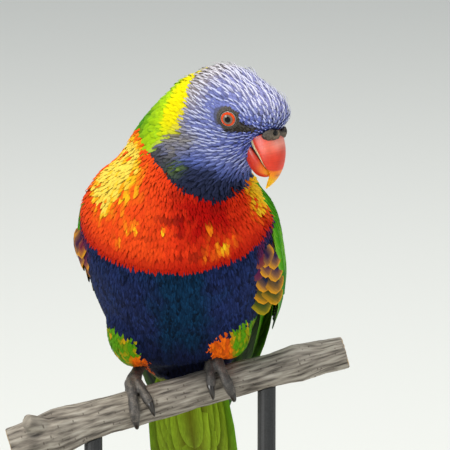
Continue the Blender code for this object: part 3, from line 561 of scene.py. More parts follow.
# Yellow areas of the breast: centre, radius and strength.
YELLOW_AREAS = (
    ((-17.5, -32.0, 83.0), 9.5, 1.2),
    ((-15.0, -28.0, 91.0), 6.0, 1.0),
    ((-24.5, -26.0, 81.0), 7.5, 1.0),
    ((-24.0, -31.0, 71.0), 5.5, 0.6),
    ((-15.0, -37.0, 72.0), 13.0, 0.24),
    ((-13.0, -39.0, 66.0), 3.6, 0.45),
    ((-18.0, -37.0, 60.0), 3.0, 0.4),
    ((-1.0, -42.0, 64.0), 2.6, 0.5),
    ((17.0, -37.0, 61.0), 9.0, 0.2),
    ((14.8, -39.0, 65.0), 2.8, 0.28),
    ((22.5, -33.6, 61.0), 2.8, 0.34),
    ((18.0, -36.0, 57.4), 3.6, 0.34),
    ((12.7, -38.3, 56.0), 3.2, 0.3),
    ((27.0, -22.5, 79.0), 7.0, 1.2),
    ((31.0, -16.5, 73.0), 6.5, 1.1),
    ((29.5, -25.0, 69.5), 4.6, 0.6),
)


def breast_yellow(points):
    """How yellow the breast's feathers are, 0 to 1."""
    weight = sum(strength * near(points, centre, radius) for centre, radius, strength in YELLOW_AREAS)
    streaks = rough_field(points * (1.7, 1.7, 0.45), 2.6, 7.3)
    return step((weight * (1 + 0.7 * streaks) - 0.05) / 1.25)


def breast_colours(points, fine):
    """Colours of the breast: red, deeper and barred in the middle, with orange and yellow areas."""
    along = wing_place(points)[0]
    x = points[:, 0]
    middle = near(points, (13, -39, 70), 13)
    red = blend(own_colour("breast"), BREAST_ORANGE, 0.2 * step((4 - x) / 12))
    red = blend(red, BREAST_DEEP, np.clip(1.15 * middle + 0.25 * fine, 0, 1))
    red = blend(red, blend(red, BREAST_DEEP, 0.8), step((32 - along) / 7))
    wave = rough_field(points * (0.35, 0.35, 1.0), 3.4, 5.2)
    bars = step((wave - 0.3) / 0.3) * step(near(points, (6, -41, 64), 21) * 1.3 - 0.25)
    red = blend(red, BREAST_DARK, 0.55 * bars)
    gold = breast_yellow(points)
    ramp = blend(BREAST_ORANGE, BREAST_YELLOW, step((gold - 0.25) / 0.45))
    # The palest yellow core goes mostly on the bird's right side, which the key light falls on: partly the
    # patches' own colour, partly painted light.
    ramp = blend(ramp, BREAST_PALE_AND_LIT, step((gold - 0.7) / 0.3) * np.where(x < 10, 1.0, 0.15))
    return blend(red, ramp, step(gold / 0.5))


def body_colours(points, names, chance):
    """Base, tip, shaft and edge colours of the body's feathers at their tips."""
    along, angle = wing_place(points)[:2]
    h = in_head(points)
    x, z = points[:, 0], points[:, 2]
    wave = rough_field(points, 6.0, 3.1)
    fine = rough_field(points, 2.4, 9.7)
    base, tip, edge = (np.zeros((len(points), 3)) for _ in range(3))

    def paint(name, *colours):
        here = names == name
        for whole, made in zip((base, tip, edge), colours):
            whole[here] = made[here]

    breast = breast_colours(points, fine)
    paint("breast", breast * 0.8, breast, breast * 0.88)

    middle = step((15 - np.abs(x - 3)) / 12) * step((along + 25) / 16)
    navy = blend(own_colour("belly"), BELLY_TEAL, step(middle + 0.35 * wave))
    ticks = step((rough_field(points * (2.4, 2.4, 0.7), 2.0, 4.7) - 0.3) / 0.25)
    navy = navy * ((0.85 + 0.15 * wave + 0.2 * fine + 0.5 * chance) * (1 - 0.55 * ticks))[:, None]
    navy = blend(navy, BELLY_DARK, 0.7 * step((-4 - along) / 22))
    purple = step((angle + 36) / 10) * step((along - 10) / 8) * step(0.6 + wave)
    green = step((angle + 26) / 10) * step((8 - along) / 12)
    belly = blend(blend(navy, FLANK_PURPLE, 0.7 * purple), FLANK_GREEN, 0.7 * green)
    belly = blend(belly, VENT * 0.8, 0.85 * step((-42 + 5 * wave - along) / 8))
    paint("belly", belly * 0.75, belly, belly * 0.55)

    rear = h[:, 0] - edge_at(COLLAR_REAR, h[:, 2])
    inner = step(rear / 2.2 + 0.25 * fine)
    lower = step((-11 - h[:, 2]) / 9)
    yellow = blend(own_colour("collar"), COLLAR_GREEN, np.maximum(1 - inner, 0.8 * lower))
    # Just behind the hood's rear edge, low on the neck, the collar is blended towards olive brown.
    hood_edge_olive = step((1.6 + hood_margin(points)[0]) / 1.6) * 0.4
    yellow = blend(yellow, CHEEK_OLIVE, hood_edge_olive * step((-4 - h[:, 2]) / 6))
    paint("nape", yellow * 0.85, yellow, yellow * 0.93)

    green = blend(own_colour("wing"), GREEN_DARK, step(0.35 + 0.5 * wave))
    green = blend(green, COLLAR_GREEN, 0.85 * step((rear + 13) / 11) * (h[:, 2] > -29))
    mantle = step(near(points, (-2, 4, 86), 10) + 0.7 * fine - 0.75)
    vent = step((-30 - along) / 8) * (angle < -5)
    warm = blend(blend(green, BREAST_ORANGE, 0.7 * mantle), VENT, vent)
    light = blend(green * 0.8, GREEN_LIGHT, 0.45 * step(0.5 + fine))
    paint("back", blend(green * 0.6, VENT * 0.7, vent), warm, light)

    inside = np.where(x > 0, step((20.5 - x) / 3), step((15.5 - z) / 3) * step((x + 18) / 2.5))
    soft = rough_field(points * (1.2, 1.2, 0.5), 2.2, 4.4)
    leaf = blend(THIGH_GREEN, THIGH_GOLD, step(0.9 * soft))
    warm = blend(THIGH_RED, BREAST_ORANGE, step(0.8 * soft + 0.65))
    leaf = blend(leaf, warm, np.clip(inside + 0.25 * soft, 0, 1))
    paint("thigh", leaf * 0.75, leaf, leaf * 0.88)

    tip = tip * (0.92 + 0.16 * chance)[:, None]
    return base, tip, tip * 1.08, edge


def lore(points):
    """1 on the bare patches between eye and cere, 0 in the feathers."""
    level = folded(points)
    start, end = np.array((3.8, 12.3, -2.2)), np.array((9.6, 7.4, -1.1))
    line = end - start
    share = np.clip((level - start) @ line / (line @ line), 0, 1)
    away = np.linalg.norm(level - start - share[:, None] * line, axis=1)
    return step((2.1 - 0.7 * share - away) / 0.6 + 0.5)


def from_eye(points):
    """Distance of points from the nearer eye's line of sight, for points on its side of the head."""
    best = np.full(len(points), 99.0)
    for side in (-1, 1):
        forward, radial = off_sight(points, *eye_line(side))
        best = np.where(forward > 0, np.minimum(best, radial), best)
    return best


def coat_depth(points, sizes):
    """How thick the coat is: thin on the face, full on the body, nearly nothing on bare skin."""
    face = step((np.linalg.norm(in_head(points) - FACE, axis=1) - 4) / 16)
    depth = sizes.face_depth + (sizes.body_depth - sizes.face_depth) * face
    bare = np.maximum(lore(points), step((7.0 - from_eye(points)) / 3.4))
    return (depth / MM) * (1 - 0.8 * bare)


NEIGHBOURS = [(i, j, k) for i in (0, -1, 1) for j in (0, -1, 1) for k in (0, -1, 1)]
# Roots drawn on each square millimetre, before the crowded ones are left out.
DRAWN_ROOTS = 6


class Surface:
    """The bird's skin: points, smoothed normals, triangles and a tree to find the nearest place."""

    def __init__(self, bm):
        self.points, self.normals = places_of(bm)
        bm.verts.ensure_lookup_table()
        bm.faces.ensure_lookup_table()
        self.faces = [[vertex.index for vertex in face.verts] for face in bm.faces]
        self.triangles = np.array([(f[0], f[k], f[k + 1]) for f in self.faces for k in range(1, len(f) - 1)])
        self.tree = BVHTree.FromBMesh(bm)
        edges = np.array([[vertex.index for vertex in edge.verts] for edge in bm.edges])
        for _ in range(8):
            total = self.normals.copy()
            np.add.at(total, edges[:, 0], self.normals[edges[:, 1]])
            np.add.at(total, edges[:, 1], self.normals[edges[:, 0]])
            self.normals = unit(total)

    def nearest(self, points):
        """Nearest places on the skin, with normals blended over the face there."""
        places = np.zeros((len(points), 3))
        normals = np.zeros((len(points), 3))
        for i, point in enumerate(points.tolist()):
            place, _, face, _ = self.tree.find_nearest(point)
            places[i] = place
            normals[i] = self.normals[self.faces[face]].mean(0)
        return places, unit(normals)

    def scatter(self, spacing, rng):
        """Roots spread evenly over the skin, no two nearer than spacing gives. Zero keeps a place bare."""
        a, b, c = (self.points[self.triangles[:, k]] for k in range(3))
        area = np.linalg.norm(np.cross(b - a, c - a), axis=1) / 2
        count = int(DRAWN_ROOTS * area.sum())
        chosen = rng.choice(len(area), count, p=area / area.sum())
        p, q = rng.random(count), rng.random(count)
        fold = p + q > 1
        p[fold], q[fold] = 1 - p[fold], 1 - q[fold]
        places = a[chosen] + (b - a)[chosen] * p[:, None] + (c - a)[chosen] * q[:, None]
        gaps = spacing(places, unit(np.cross(b - a, c - a))[chosen])
        places, gaps = places[gaps > 0], gaps[gaps > 0]
        cell = gaps.max()
        grid = {}
        kept = []
        cells = np.floor(places / cell).astype(int).tolist()
        listed = places.tolist()
        for i, gap in enumerate(gaps.tolist()):
            x, y, z = cells[i]
            px, py, pz = listed[i]
            free = True
            for key in NEIGHBOURS:
                for qx, qy, qz, other in grid.get((x + key[0], y + key[1], z + key[2]), ()):
                    least = max(gap, other)
                    if (px - qx) ** 2 + (py - qy) ** 2 + (pz - qz) ** 2 < least * least:
                        free = False
                        break
                if not free:
                    break
            if free:
                grid.setdefault((x, y, z), []).append((px, py, pz, gap))
                kept.append(i)
        return places[kept]


SKIN_NODES = ("torso", "neck", "head", "thigh_left", "thigh_right")
FIRM_NODES = (
    "perch", "foot_left", "foot_right", "bill_upper", "bill_lower", "cere",
    "stand_rod_left", "stand_rod_right",
)


@functools.cache
def firm_tree():
    return tree_of(FIRM_NODES)


@functools.cache
def skin_surface():
    """The skin inside the feathered solids by the depth of the coat, with its eye sockets filled."""
    sizes = settings()
    bm = node_copy(SKIN_NODES, FUSED_GROWTH)
    for side in (-1, 1):
        centre, gaze = eye_line(side)
        socket = centre - SOCKET_DEPTH * unit(gaze + 0.2 * Z_AXIS)
        ball(bm, socket, Matrix.Identity(3), SOCKET_RADIUS, 24, 32)
    bm = one_surface(bm, sizes.skin_grain / MM, 6)
    points, normals = places_of(bm)
    depth = coat_depth(points, sizes) + SKIN_INSET
    move_to(bm, points - normals * depth[:, None])
    axes = dict(use_axis_x=True, use_axis_y=True, use_axis_z=True)
    for _ in range(2):
        bmesh.ops.smooth_vert(bm, verts=bm.verts, factor=0.5, **axes)
    surface = Surface(bm)
    return surface, mesh_in_metres("skin", bm)


def make_skin():
    surface, mesh = skin_surface()
    points = surface.points
    names = regions(points)
    chance = np.full(len(points), 0.5)
    colours = body_colours(points, names, chance)[0]
    hood = names == "hood"
    colours[hood] = (hood_colours(points, chance)[2] * 0.8)[hood]
    bare = np.maximum(lore(points), step((4.7 - from_eye(points)) / 0.6))
    grains = step(0.5 + rough_field(points, 0.8))
    colours = blend(colours, blend(BARE_SKIN, BARE_LIGHT, 0.5 * grains), bare)
    set_colours(mesh, "Plumage", colours)
    set_uv(mesh, "OFBake", unwrap(points))
    finished("skin", mesh, granular_skin(), SKIN_NODES)


def unwrap(points):
    """Place of skin points on an unwrap of the bird: turn round the trunk or head, and height."""
    h = in_head(points)
    head = (np.linalg.norm(points - HEAD, axis=1) < 30) & (h[:, 2] > -22)
    turn = np.arctan2(h[:, 1], -h[:, 2]) / (2 * math.pi) + 0.5
    high = np.clip((h[:, 0] + 30) / 50, 0, 1)
    on_head = np.column_stack((0.02 + 0.46 * high, 0.52 + 0.46 * turn))
    along = (points - WING_POINT) @ TRUNK_AXIS
    across = np.arctan2(points[:, 0], -((points - WING_POINT) @ TRUNK_BACK)) / (2 * math.pi) + 0.5
    on_body = np.column_stack((0.02 + 0.96 * across, 0.02 + 0.46 * np.clip((along + 60) / 130, 0, 1)))
    return np.where(head[:, None], on_head, on_body)


# Feathers

FINE_ACROSS = (-1.0, 0.0, 1.0)
SMALL_ACROSS = (-1.0, -0.5, 0.0, 0.5, 1.0)
LONG_ACROSS = (-1.0, -0.55, -0.07, 0.0, 0.07, 0.55, 1.0)
# Side of a feather's patch on the unwrap, and how far its underside lies to one side there.
BAKE_PATCH = 0.003
UNDERSIDE_SHIFT = 0.0004


def vane_points(centres, normals, widths, across, shaft, camber, tilt, thickness):
    """Rings of closed vanes along lines of centres: the upper face from edge to edge, and one point under it.

    shaft is how high the quill stands over the middle, and camber how far the edges bend down, as a share
    of the half width.
    """
    along = unit(np.gradient(centres, axis=1))
    side = unit(np.cross(along, normals))
    side = side * np.cos(tilt) + np.cross(along, side) * np.sin(tilt)
    upward = np.cross(side, along)
    u = np.array(across)[:, None]
    half = widths[..., None, None] / 2
    rise = shaft * np.clip(1 - np.abs(u) * 11, 0, 1) - camber * u * u * half
    top = centres[:, :, None] + side[:, :, None] * (u * half) + upward[:, :, None] * rise
    under = centres - upward * thickness
    return np.concatenate((top, under[:, :, None]), axis=2)


def vane_mesh(name, points, colours, vane_uv, roots, facing=None):
    """Mesh of closed vanes with their colours, their place on the vane and their patch on the skin's unwrap.

    facing gives silky feathers the direction that each point of them shades in.
    """
    count, stations, ring = points.shape[:3]
    index = np.arange(count * stations * ring).reshape(count, stations, ring)
    after = np.roll(index, -1, axis=2)
    quads = np.stack((index[:, :-1], after[:, :-1], after[:, 1:], index[:, 1:]), axis=-1).reshape(-1, 4)
    caps = np.concatenate((index[:, 0, ::-1], index[:, -1]), axis=0)
    loops = np.concatenate((quads.ravel(), caps.ravel()))
    starts = np.concatenate((np.arange(len(quads)) * 4, len(quads) * 4 + np.arange(len(caps)) * ring))
    mesh = bpy.data.meshes.new(name)
    mesh.vertices.add(index.size)
    mesh.vertices.foreach_set("co", ((points + PERCH) * MM).astype(np.float32).ravel())
    mesh.loops.add(len(loops))
    mesh.loops.foreach_set("vertex_index", loops.astype(np.int32))
    mesh.polygons.add(len(starts))
    mesh.polygons.foreach_set("loop_start", starts.astype(np.int32))
    mesh.update(calc_edges=True)
    mesh.shade_smooth()
    if facing is None:
        mesh.set_sharp_from_angle(angle=math.radians(70))
    else:
        mesh.normals_split_custom_set_from_vertices(facing.reshape(-1, 3).astype(np.float32))
    set_colours(mesh, "Plumage", colours.reshape(-1, 3))
    set_uv(mesh, "Vane", vane_uv.reshape(-1, 2))
    share = np.linspace(-0.5, 0.5, stations)[None, :, None]
    across = np.concatenate((np.linspace(-0.5, 0.5, ring - 1), (0.0,)))[None, None, :]
    patch = np.zeros((count, stations, ring, 2))
    patch[..., 0] = roots[:, None, None, 0] + across * BAKE_PATCH
    patch[..., 1] = roots[:, None, None, 1] + share * BAKE_PATCH
    patch[:, :, -1, 1] -= UNDERSIDE_SHIFT
    set_uv(mesh, "OFBake", patch.reshape(-1, 2))
    return mesh


def vane_places(widths, lengths, shares, across):
    """UV of each ring point in millimetres across and along, shifted so that the feathers' barbs differ."""
    count, stations = widths.shape
    places = np.zeros((count, stations, len(across) + 1, 2))
    u = np.array(across + (0.0,))
    number = np.arange(count)[:, None, None]
    places[..., 0] = widths[:, :, None] * u / 2 + 10.0 * (number % 97)
    places[..., 1] = lengths[:, None, None] * shares[None, :, None] + 7.0 * (number % 89)
    return places


def lie(points, normals):
    """Direction in which feathers lie on the skin: away from the bill on the head, down the trunk below."""
    head_flow = unit(points - from_head(11.0, 0.0, -4.0))
    back_tilt = unit(-FORWARD * 0.8 - UP * 0.25)
    head_flow = unit(head_flow + 0.35 * back_tilt)
    for side in (-1, 1):
        centre, gaze = eye_line(side)
        away = points - centre
        away = away - (away @ gaze)[:, None] * gaze
        distance = np.linalg.norm(away, axis=1)
        same = step(((points - HEAD) @ LEFT * side) / 4)
        push = same * step((8 - distance) / 4) * 0.8
        outward = unit(away)
        inward = np.minimum((head_flow * outward).sum(1), 0)
        head_flow = head_flow - outward * (inward * push)[:, None]
    body_flow = np.tile(-TRUNK_AXIS, (len(points), 1))
    leg = (points[:, 2] < 26) & (np.abs(points[:, 0]) > 10) & (points[:, 1] < 12)
    body_flow[leg] = unit(np.array((0.0, 0.35, -0.9)))
    down = np.linalg.norm(points - from_head(-3.0, 0.0, -2.0), axis=1)
    share = step((down - 20) / 16)
    flow = blend(unit(head_flow), body_flow, share)
    flow = flow - (flow * normals).sum(1)[:, None] * normals
    return unit(flow)


def bend(first, middle, last, t):
    """Quadratic curves from a first to a last vector, drawn towards a middle one."""
    return (1 - t) ** 2 * first[:, None] + 2 * t * (1 - t) * middle[:, None] + t * t * last[:, None]


def grow(surface, roots, normals, lengths, widths, lifts, profile, rng):
    """Lines, normals, widths and rolls of small feathers, bent over the skin along the way they lie."""
    shares = SHORT_SHARES
    direction = lie(roots, normals)
    turn = rng.normal(0, 0.05, len(roots))[:, None]
    direction = unit(direction * np.cos(turn) + np.cross(normals, direction) * np.sin(turn))
    middle, middle_normal = surface.nearest(roots + direction * lengths[:, None] / 2)
    onward = middle - roots
    onward = unit(onward - (onward * middle_normal).sum(1)[:, None] * middle_normal)
    onward = unit(onward + 0.6 * lie(middle, middle_normal))
    tip, tip_normal = surface.nearest(middle + onward * lengths[:, None] / 2)
    control = 2 * middle - (roots + tip) / 2
    t = shares[None, :, None]
    line = bend(roots, control, tip, t)
    up = unit(bend(normals, middle_normal, tip_normal, t))
    height = -0.35 + (lifts[:, None] + 0.35) * step(shares * 1.15)[None, :]
    centres = line + up * height[..., None]
    spans = widths[:, None] * profile[None, :]
    roll = rng.normal(0, 0.06, len(roots))[:, None, None]
    return centres, up, spans, roll


def feather_colours(base, tip, shaft, edge, shaft_reach, tip_edge, across=SMALL_ACROSS):
    """Colours over small vanes: from base to tip, a shaft down the middle and an edge round the vane."""
    shares = SHORT_SHARES
    count, stations = len(base), len(shares)
    ring = len(across) + 1
    u = np.abs(np.array(across + (0.0,)))
    along = step((shares - 0.1) / 0.55)[None, :, None, None]
    body = base[:, None, None] * (1 - along) + tip[:, None, None] * along
    body = np.broadcast_to(body, (count, stations, ring, 3))
    quill = np.clip((shaft_reach - u) / 0.55, 0, 1)[None, None, :, None]
    rim = step((u - 0.4) / 0.5)[None, None, :, None]
    end = (step((shares - 0.86) / 0.12) * tip_edge)[None, :, None, None]
    rim = np.maximum(rim * along, end)
    colours = body * (1 - quill * along) + shaft[:, None, None] * quill * along
    return colours * (1 - rim) + edge[:, None, None] * rim


def soft_facing(points, centres, up, outward):
    """Directions in which silky feathers shade: the skin's, turned a little outwards at the vane's edges."""
    away = points - centres[:, :, None]
    across = away - (away * up[:, :, None]).sum(-1, keepdims=True) * up[:, :, None]
    facing = unit(up[:, :, None] + outward * unit(across))
    facing[:, :, facing.shape[2] // 2 - 1] = up
    facing[:, :, -1] = -up
    return facing


# Stations of a small feather as shares of its length, and its width there in three forms.
SHORT_SHARES = np.array((0.0, 0.4, 0.72, 0.91, 1.0))
SHORT_PROFILE = np.array((0.5, 0.95, 1.0, 0.6, 0.12))
ROUND_PROFILE = np.array((0.5, 0.9, 1.0, 0.86, 0.4))
HACKLE_PROFILE = np.array((0.7, 1.0, 0.85, 0.55, 0.12))
BRISTLE_GAP = 0.55


def clear_of_firm(points, least):
    """True where points lie outside the firm parts by at least that much."""
    tree = firm_tree()
    keep = np.ones(len(points), bool)
    for i, point in enumerate(points.tolist()):
        place, normal, _, distance = tree.find_nearest(point)
        inside = distance < 2.5 and (Vector(point) - place).dot(normal) < 0
        keep[i] = not inside and distance > least
    return keep


def face_size(points):
    """Size of the feathers, from small beside the bill and round the eye to 1 on the body."""
    face = step((np.linalg.norm(in_head(points) - FACE, axis=1) - 3) / 15)
    eye = step((from_eye(points) - 3.8) / 4.5)
    return (0.36 + 0.64 * face) * (0.72 + 0.28 * eye)


def border_size(points):
    """Size of the feathers along the lower borders of hood and breast, small so that these look soft."""
    along = wing_place(points)[0]
    hood = np.abs(hood_margin(points)[1] - 1.5)
    breast = np.abs(along - 27.5)
    return 0.55 + 0.45 * step((np.minimum(hood, breast) - 2.5) / 3)


def coat_roots(region, gap, length, rng, hackle):
    """Roots of the feathers whose tips lie in a region, clear of bare places, firm parts and wings."""
    surface, _ = skin_surface()

    def spacing(points, normals):
        along, angle, low, high = wing_place(points)
        bed = low + 5 + 17 * step((along - 20) / 8)
        under_wing = (along < 33) & (along > -56) & (angle > bed) & (angle < high - 5)
        bare = (lore(points) > 0.5) | (from_eye(points) < 3.95)
        size = face_size(points)
        reach = length * size * (0.8 if hackle else 0.3 + 0.6 * border_size(points))
        wanted = (regions(points + lie(points, normals) * reach[:, None]) == region) & ~under_wing & ~bare
        if hackle:
            wanted &= (hood_margin(points)[1] > 8) & (from_eye(points) > 4.7)
        if region == "lore":
            wanted = (lore(points) > 0.02) & (from_eye(points) > 3.9)
        scale = (0.55 + 0.45 * size) if hackle else (0.55 + 0.45 * size) * (0.25 + 0.75 * border_size(points))
        return np.where(wanted, gap * scale, 0.0)

    roots = surface.scatter(spacing, rng)
    roots = roots[clear_of_firm(roots, 0.35)]
    return roots, surface.nearest(roots)[1]


def puff(points):
    """Further lift, in millimetres, of the loose feathers at crown's end, throat and wings' front."""
    h = in_head(points)
    lift = 1.8 * near(h, (-21.5, 0, 0.5), 7) + 3.0 * near(h, (9.5, 4.0, -21.5), 6)
    return lift + 2.4 * near(points, (30.5, -17.0, 70.5), 9) + 1.8 * near(points, (-26.0, -19.0, 79.0), 10)


def make_coat(name, region, gap, length, width, lift, material, hackle=False):
    """One piece of coat over a region of the skin.

    gap is the distance between roots, and lift is how high the tips lie, as a share of the coat's depth.
    """
    surface, _ = skin_surface()
    rng = np.random.default_rng(SEED + sum(map(ord, name)))
    roots, normals = coat_roots(region, gap, length, rng, hackle)
    count = len(roots)
    across = SMALL_ACROSS if region in ("hood", "back") else FINE_ACROSS
    size = face_size(roots)
    chance = rng.random(count)
    lengths = length * size * (0.88 + 0.24 * rng.random(count))
    widths = width * (0.5 + 0.5 * size) * (0.85 + 0.3 * rng.random(count))
    if not hackle:
        widths *= border_size(roots)
        lengths *= 0.3 + 0.7 * border_size(roots)
    depth = coat_depth(roots, settings())
    lifts = depth * lift * (0.95 + 0.1 * rng.random(count)) + puff(roots) * (0.7 + 0.5 * rng.random(count))
    crown = step((in_head(roots)[:, 2] - 2) / 6)
    lifts = lifts + (1.45 if hackle else 0.5) * crown * rng.random(count) ** 3
    profile = HACKLE_PROFILE if hackle else SHORT_PROFILE
    centres, up, spans, roll = grow(surface, roots, normals, lengths, widths, lifts, profile, rng)
    keep = clear_of_firm(centres[:, -1], 0.25) & clear_of_firm(centres[:, 2], 0.2)
    centres, up, spans, roll = centres[keep], up[keep], spans[keep], roll[keep]
    roots, chance, lengths = roots[keep], chance[keep], lengths[keep]
    points = vane_points(centres, up, spans, across, shaft=0.02, camber=0.10, tilt=roll, thickness=0.08)
    tips = centres[:, 3]
    if region == "lore":
        base = np.tile(BARE_SKIN, (len(tips), 1)) * (0.5 + 0.9 * chance[:, None])
        colours = feather_colours(base, base, base * 1.5, base * 0.8, 1.0, 0.0, across)
    elif region == "hood":
        vane, shaft, edge = hood_colours(tips, chance)
        if not hackle:
            shaft = vane
        colours = feather_colours(edge, vane, shaft, edge, 1.0 if hackle else 0.3, 0.0 if hackle else 0.4)
    else:
        names = np.full(len(tips), region)
        root_colour = body_colours(centres[:, 1], names, chance)[1] * (0.55 if region == "back" else 0.9)
        _, tip, shaft, edge = body_colours(tips, names, chance)
        colours = feather_colours(root_colour, tip, shaft, edge, 0.3, 0.8, across)
    places = vane_places(spans, lengths, SHORT_SHARES, across)
    outward = 0.45 if hackle else 0.2
    mesh = vane_mesh(name, points, colours, places, unwrap(roots), soft_facing(points, centres, up, outward))
    finished(name, mesh, material)


# Rows of flank feathers along the lower edge of a folded wing: share of the wing's height at the feathers'
# tips, where the row starts along the trunk's axis, how many feathers it has, and their width.
FLANK_ROWS = ((-0.07, 13.5, 4, 9.0), (-0.21, 17, 5, 8.0), (-0.34, 18, 4, 7.0))


def make_flank(word, side):
    """Gold-edged flank feathers, from the belly's side out over the wing's lower edge."""
    rng = np.random.default_rng(SEED + 40 + side)
    feathers = []
    for rank, (share, start, count, width) in enumerate(FLANK_ROWS):
        share += 0.15 * (side < 0)
        for k in range(count):
            at = start - 5.6 * k + rng.uniform(-0.7, 0.7)
            length = rng.uniform(12.0, 14.0)
            along = at - length * (SHORT_SHARES - 0.72)
            height = share + rng.uniform(-0.015, 0.015) - 0.24 * (0.72 - SHORT_SHARES)
            sunk = np.maximum(0.02 - height, 0) / 0.4 * (0.6 + 4.6 * step((16 - along) / 18))
            rooted = 2.8 * step(1 - SHORT_SHARES / 0.6)
            lift = (0.8 if side < 0 else -0.9) - 0.2 * rank - sunk - rooted - tucked(side, along, height)
            line, up = wing_surface(side, along, height, lift)
            feathers.append((line, up, width * rng.uniform(0.92, 1.08) * ROUND_PROFILE, length))
    centres, up, widths, lengths = (np.array(values) for values in zip(*feathers))
    roll = rng.normal(0, 0.05, len(centres))[:, None, None]
    form = dict(shaft=0.03, camber=0.14, tilt=roll, thickness=0.14)
    points = vane_points(centres, up, widths, LONG_ACROSS, **form)
    tips = centres[:, 3]
    along, angle, low, _ = wing_place(tips)
    fine = rough_field(tips, 3.0)
    dark = blend(own_colour("belly") * 0.6, FLANK_PURPLE, 0.6 * step(0.4 + fine))
    dark = blend(dark, FLANK_GREEN * 0.6, step((4 - along) / 8))
    dark = blend(dark, BREAST_DEEP, 0.75 * step((along - 13) / 5))
    gold = blend(FLANK_GOLD, COLLAR_GREEN * 0.6, step((-4 - along) / 8))
    gold = blend(gold, dark, 0.95 * step((low - 11 - angle) / 9))
    colours = feather_colours(dark * 0.6, dark, dark, gold, 0.3, 1.0, LONG_ACROSS)
    places = vane_places(widths, lengths, SHORT_SHARES, LONG_ACROSS)
    facing = soft_facing(points, centres, up, 0.25)
    mesh = vane_mesh("coat_flank_" + word, points, colours, places, unwrap(centres[:, 0]), facing)
    finished("coat_flank_" + word, mesh, silky_keratin())


# Wings and tail

LONG_SHARES = np.array((0.0, 0.12, 0.28, 0.45, 0.6, 0.74, 0.85, 0.93, 0.98, 1.0))
# Rows of wing feathers from the deepest: count, roots and tips along the axis (lowest and highest feather),
# shares of the wing's height at root and tip (lowest and highest), width, depth, further depth of each lower
# feather at its tip, tilt in degrees, pointedness.
FLIGHT_ROWS = (
    (10, (-6, -1), (-118, -76), (0.06, 0.50), (0.10, 0.62), 9.5, 5.6, 0.36, 12, 0.75),
    (10, (-8, -3), (-64, -52), (0.15, 0.91), (0.21, 0.93), 10.5, 3.2, 0.09, 10, 0.45),
    (11, (6, 12), (-30, -26), (0.09, 0.92), (0.11, 0.94), 9.0, 1.5, 0.07, 9, 0.35),
    (11, (14, 18), (-10, -7), (0.08, 0.92), (0.09, 0.94), 8.6, 1.05, 0.04, 8, 0.3),
)
# Shades of the inner webs and of the edges in these rows. The primaries' inner webs have their own colour.
WEB_SHADES = ((0.0, 0.7), (0.45, 0.75), (0.9, 0.85), (0.9, 0.85))
PRIMARY_WEB = srgb("#20241c")
# Rows of small coverts over the front of the wing: count, root and tip along the axis, width, depth.
LESSER_ROWS = (
    (13, 20.0, 3.0, 6.6, 0.85),
    (14, 24.5, 9.0, 6.0, 0.7),
    (14, 28.5, 14.5, 5.4, 0.55),
    (14, 32.0, 19.5, 4.8, 0.45),
    (13, 35.0, 24.5, 4.2, 0.35),
    (12, 37.5, 29.0, 3.8, 0.3),
)


def quill_width(share, pointed):
    """Share of its full width that a long feather has along its length."""
    quill = np.minimum(1.0, 0.45 + share / 0.3)
    start = 1 - 0.3 - 0.35 * pointed
    into = np.clip((share - start) / (1 - start), 0, 1)
    return quill * np.where(share <= start, 1.0, np.maximum(0.10, np.sqrt(1 - into ** (2 - 0.6 * pointed))))


def long_colours(count, shares, across, outer, inner, edge, chance):
    """Colours of long feathers: an outer web, an inner web, a dark shaft and a pale or yellow edge."""
    u = np.array(across + (0.0,))[None, None, :, None]
    web = np.where(u > 0.05, outer[:, None, None], inner[:, None, None])
    web = np.broadcast_to(web, (count, len(shares), len(across) + 1, 3))
    rim = step((np.abs(u) - 0.6) / 0.4) * 0.75
    shaft = np.clip(1 - np.abs(u) / 0.1, 0, 1) * 0.75
    colours = web * (1 - rim) + edge[:, None, None] * rim
    dark = web * 0.3
    colours = colours * (1 - shaft) + dark * shaft
    return colours * (0.86 + 0.28 * chance)[:, None, None, None]


def tucked(side, along, share):
    """How far a wing is tucked in, in millimetres: front, edge on the back and, on the right, lower edge."""
    depth = 1.8 + 3.0 * step((16 - along) / 16)
    lower = depth * step((along + 50) / 25) * step((0.62 - share) / 0.45) * (side < 0)
    upper = (2.0 + 3.5 * step((24 - along) / 36)) * step((along + 62) / 26) * step((share - 0.6) / 0.36)
    return lower + upper + step((along - 23) / 9) * (1.0 + 1.2 * step((0.6 - share) / 0.4))


def between(ends, share):
    """Value at a share of the way between two ends."""
    return ends[0] + (ends[1] - ends[0]) * share


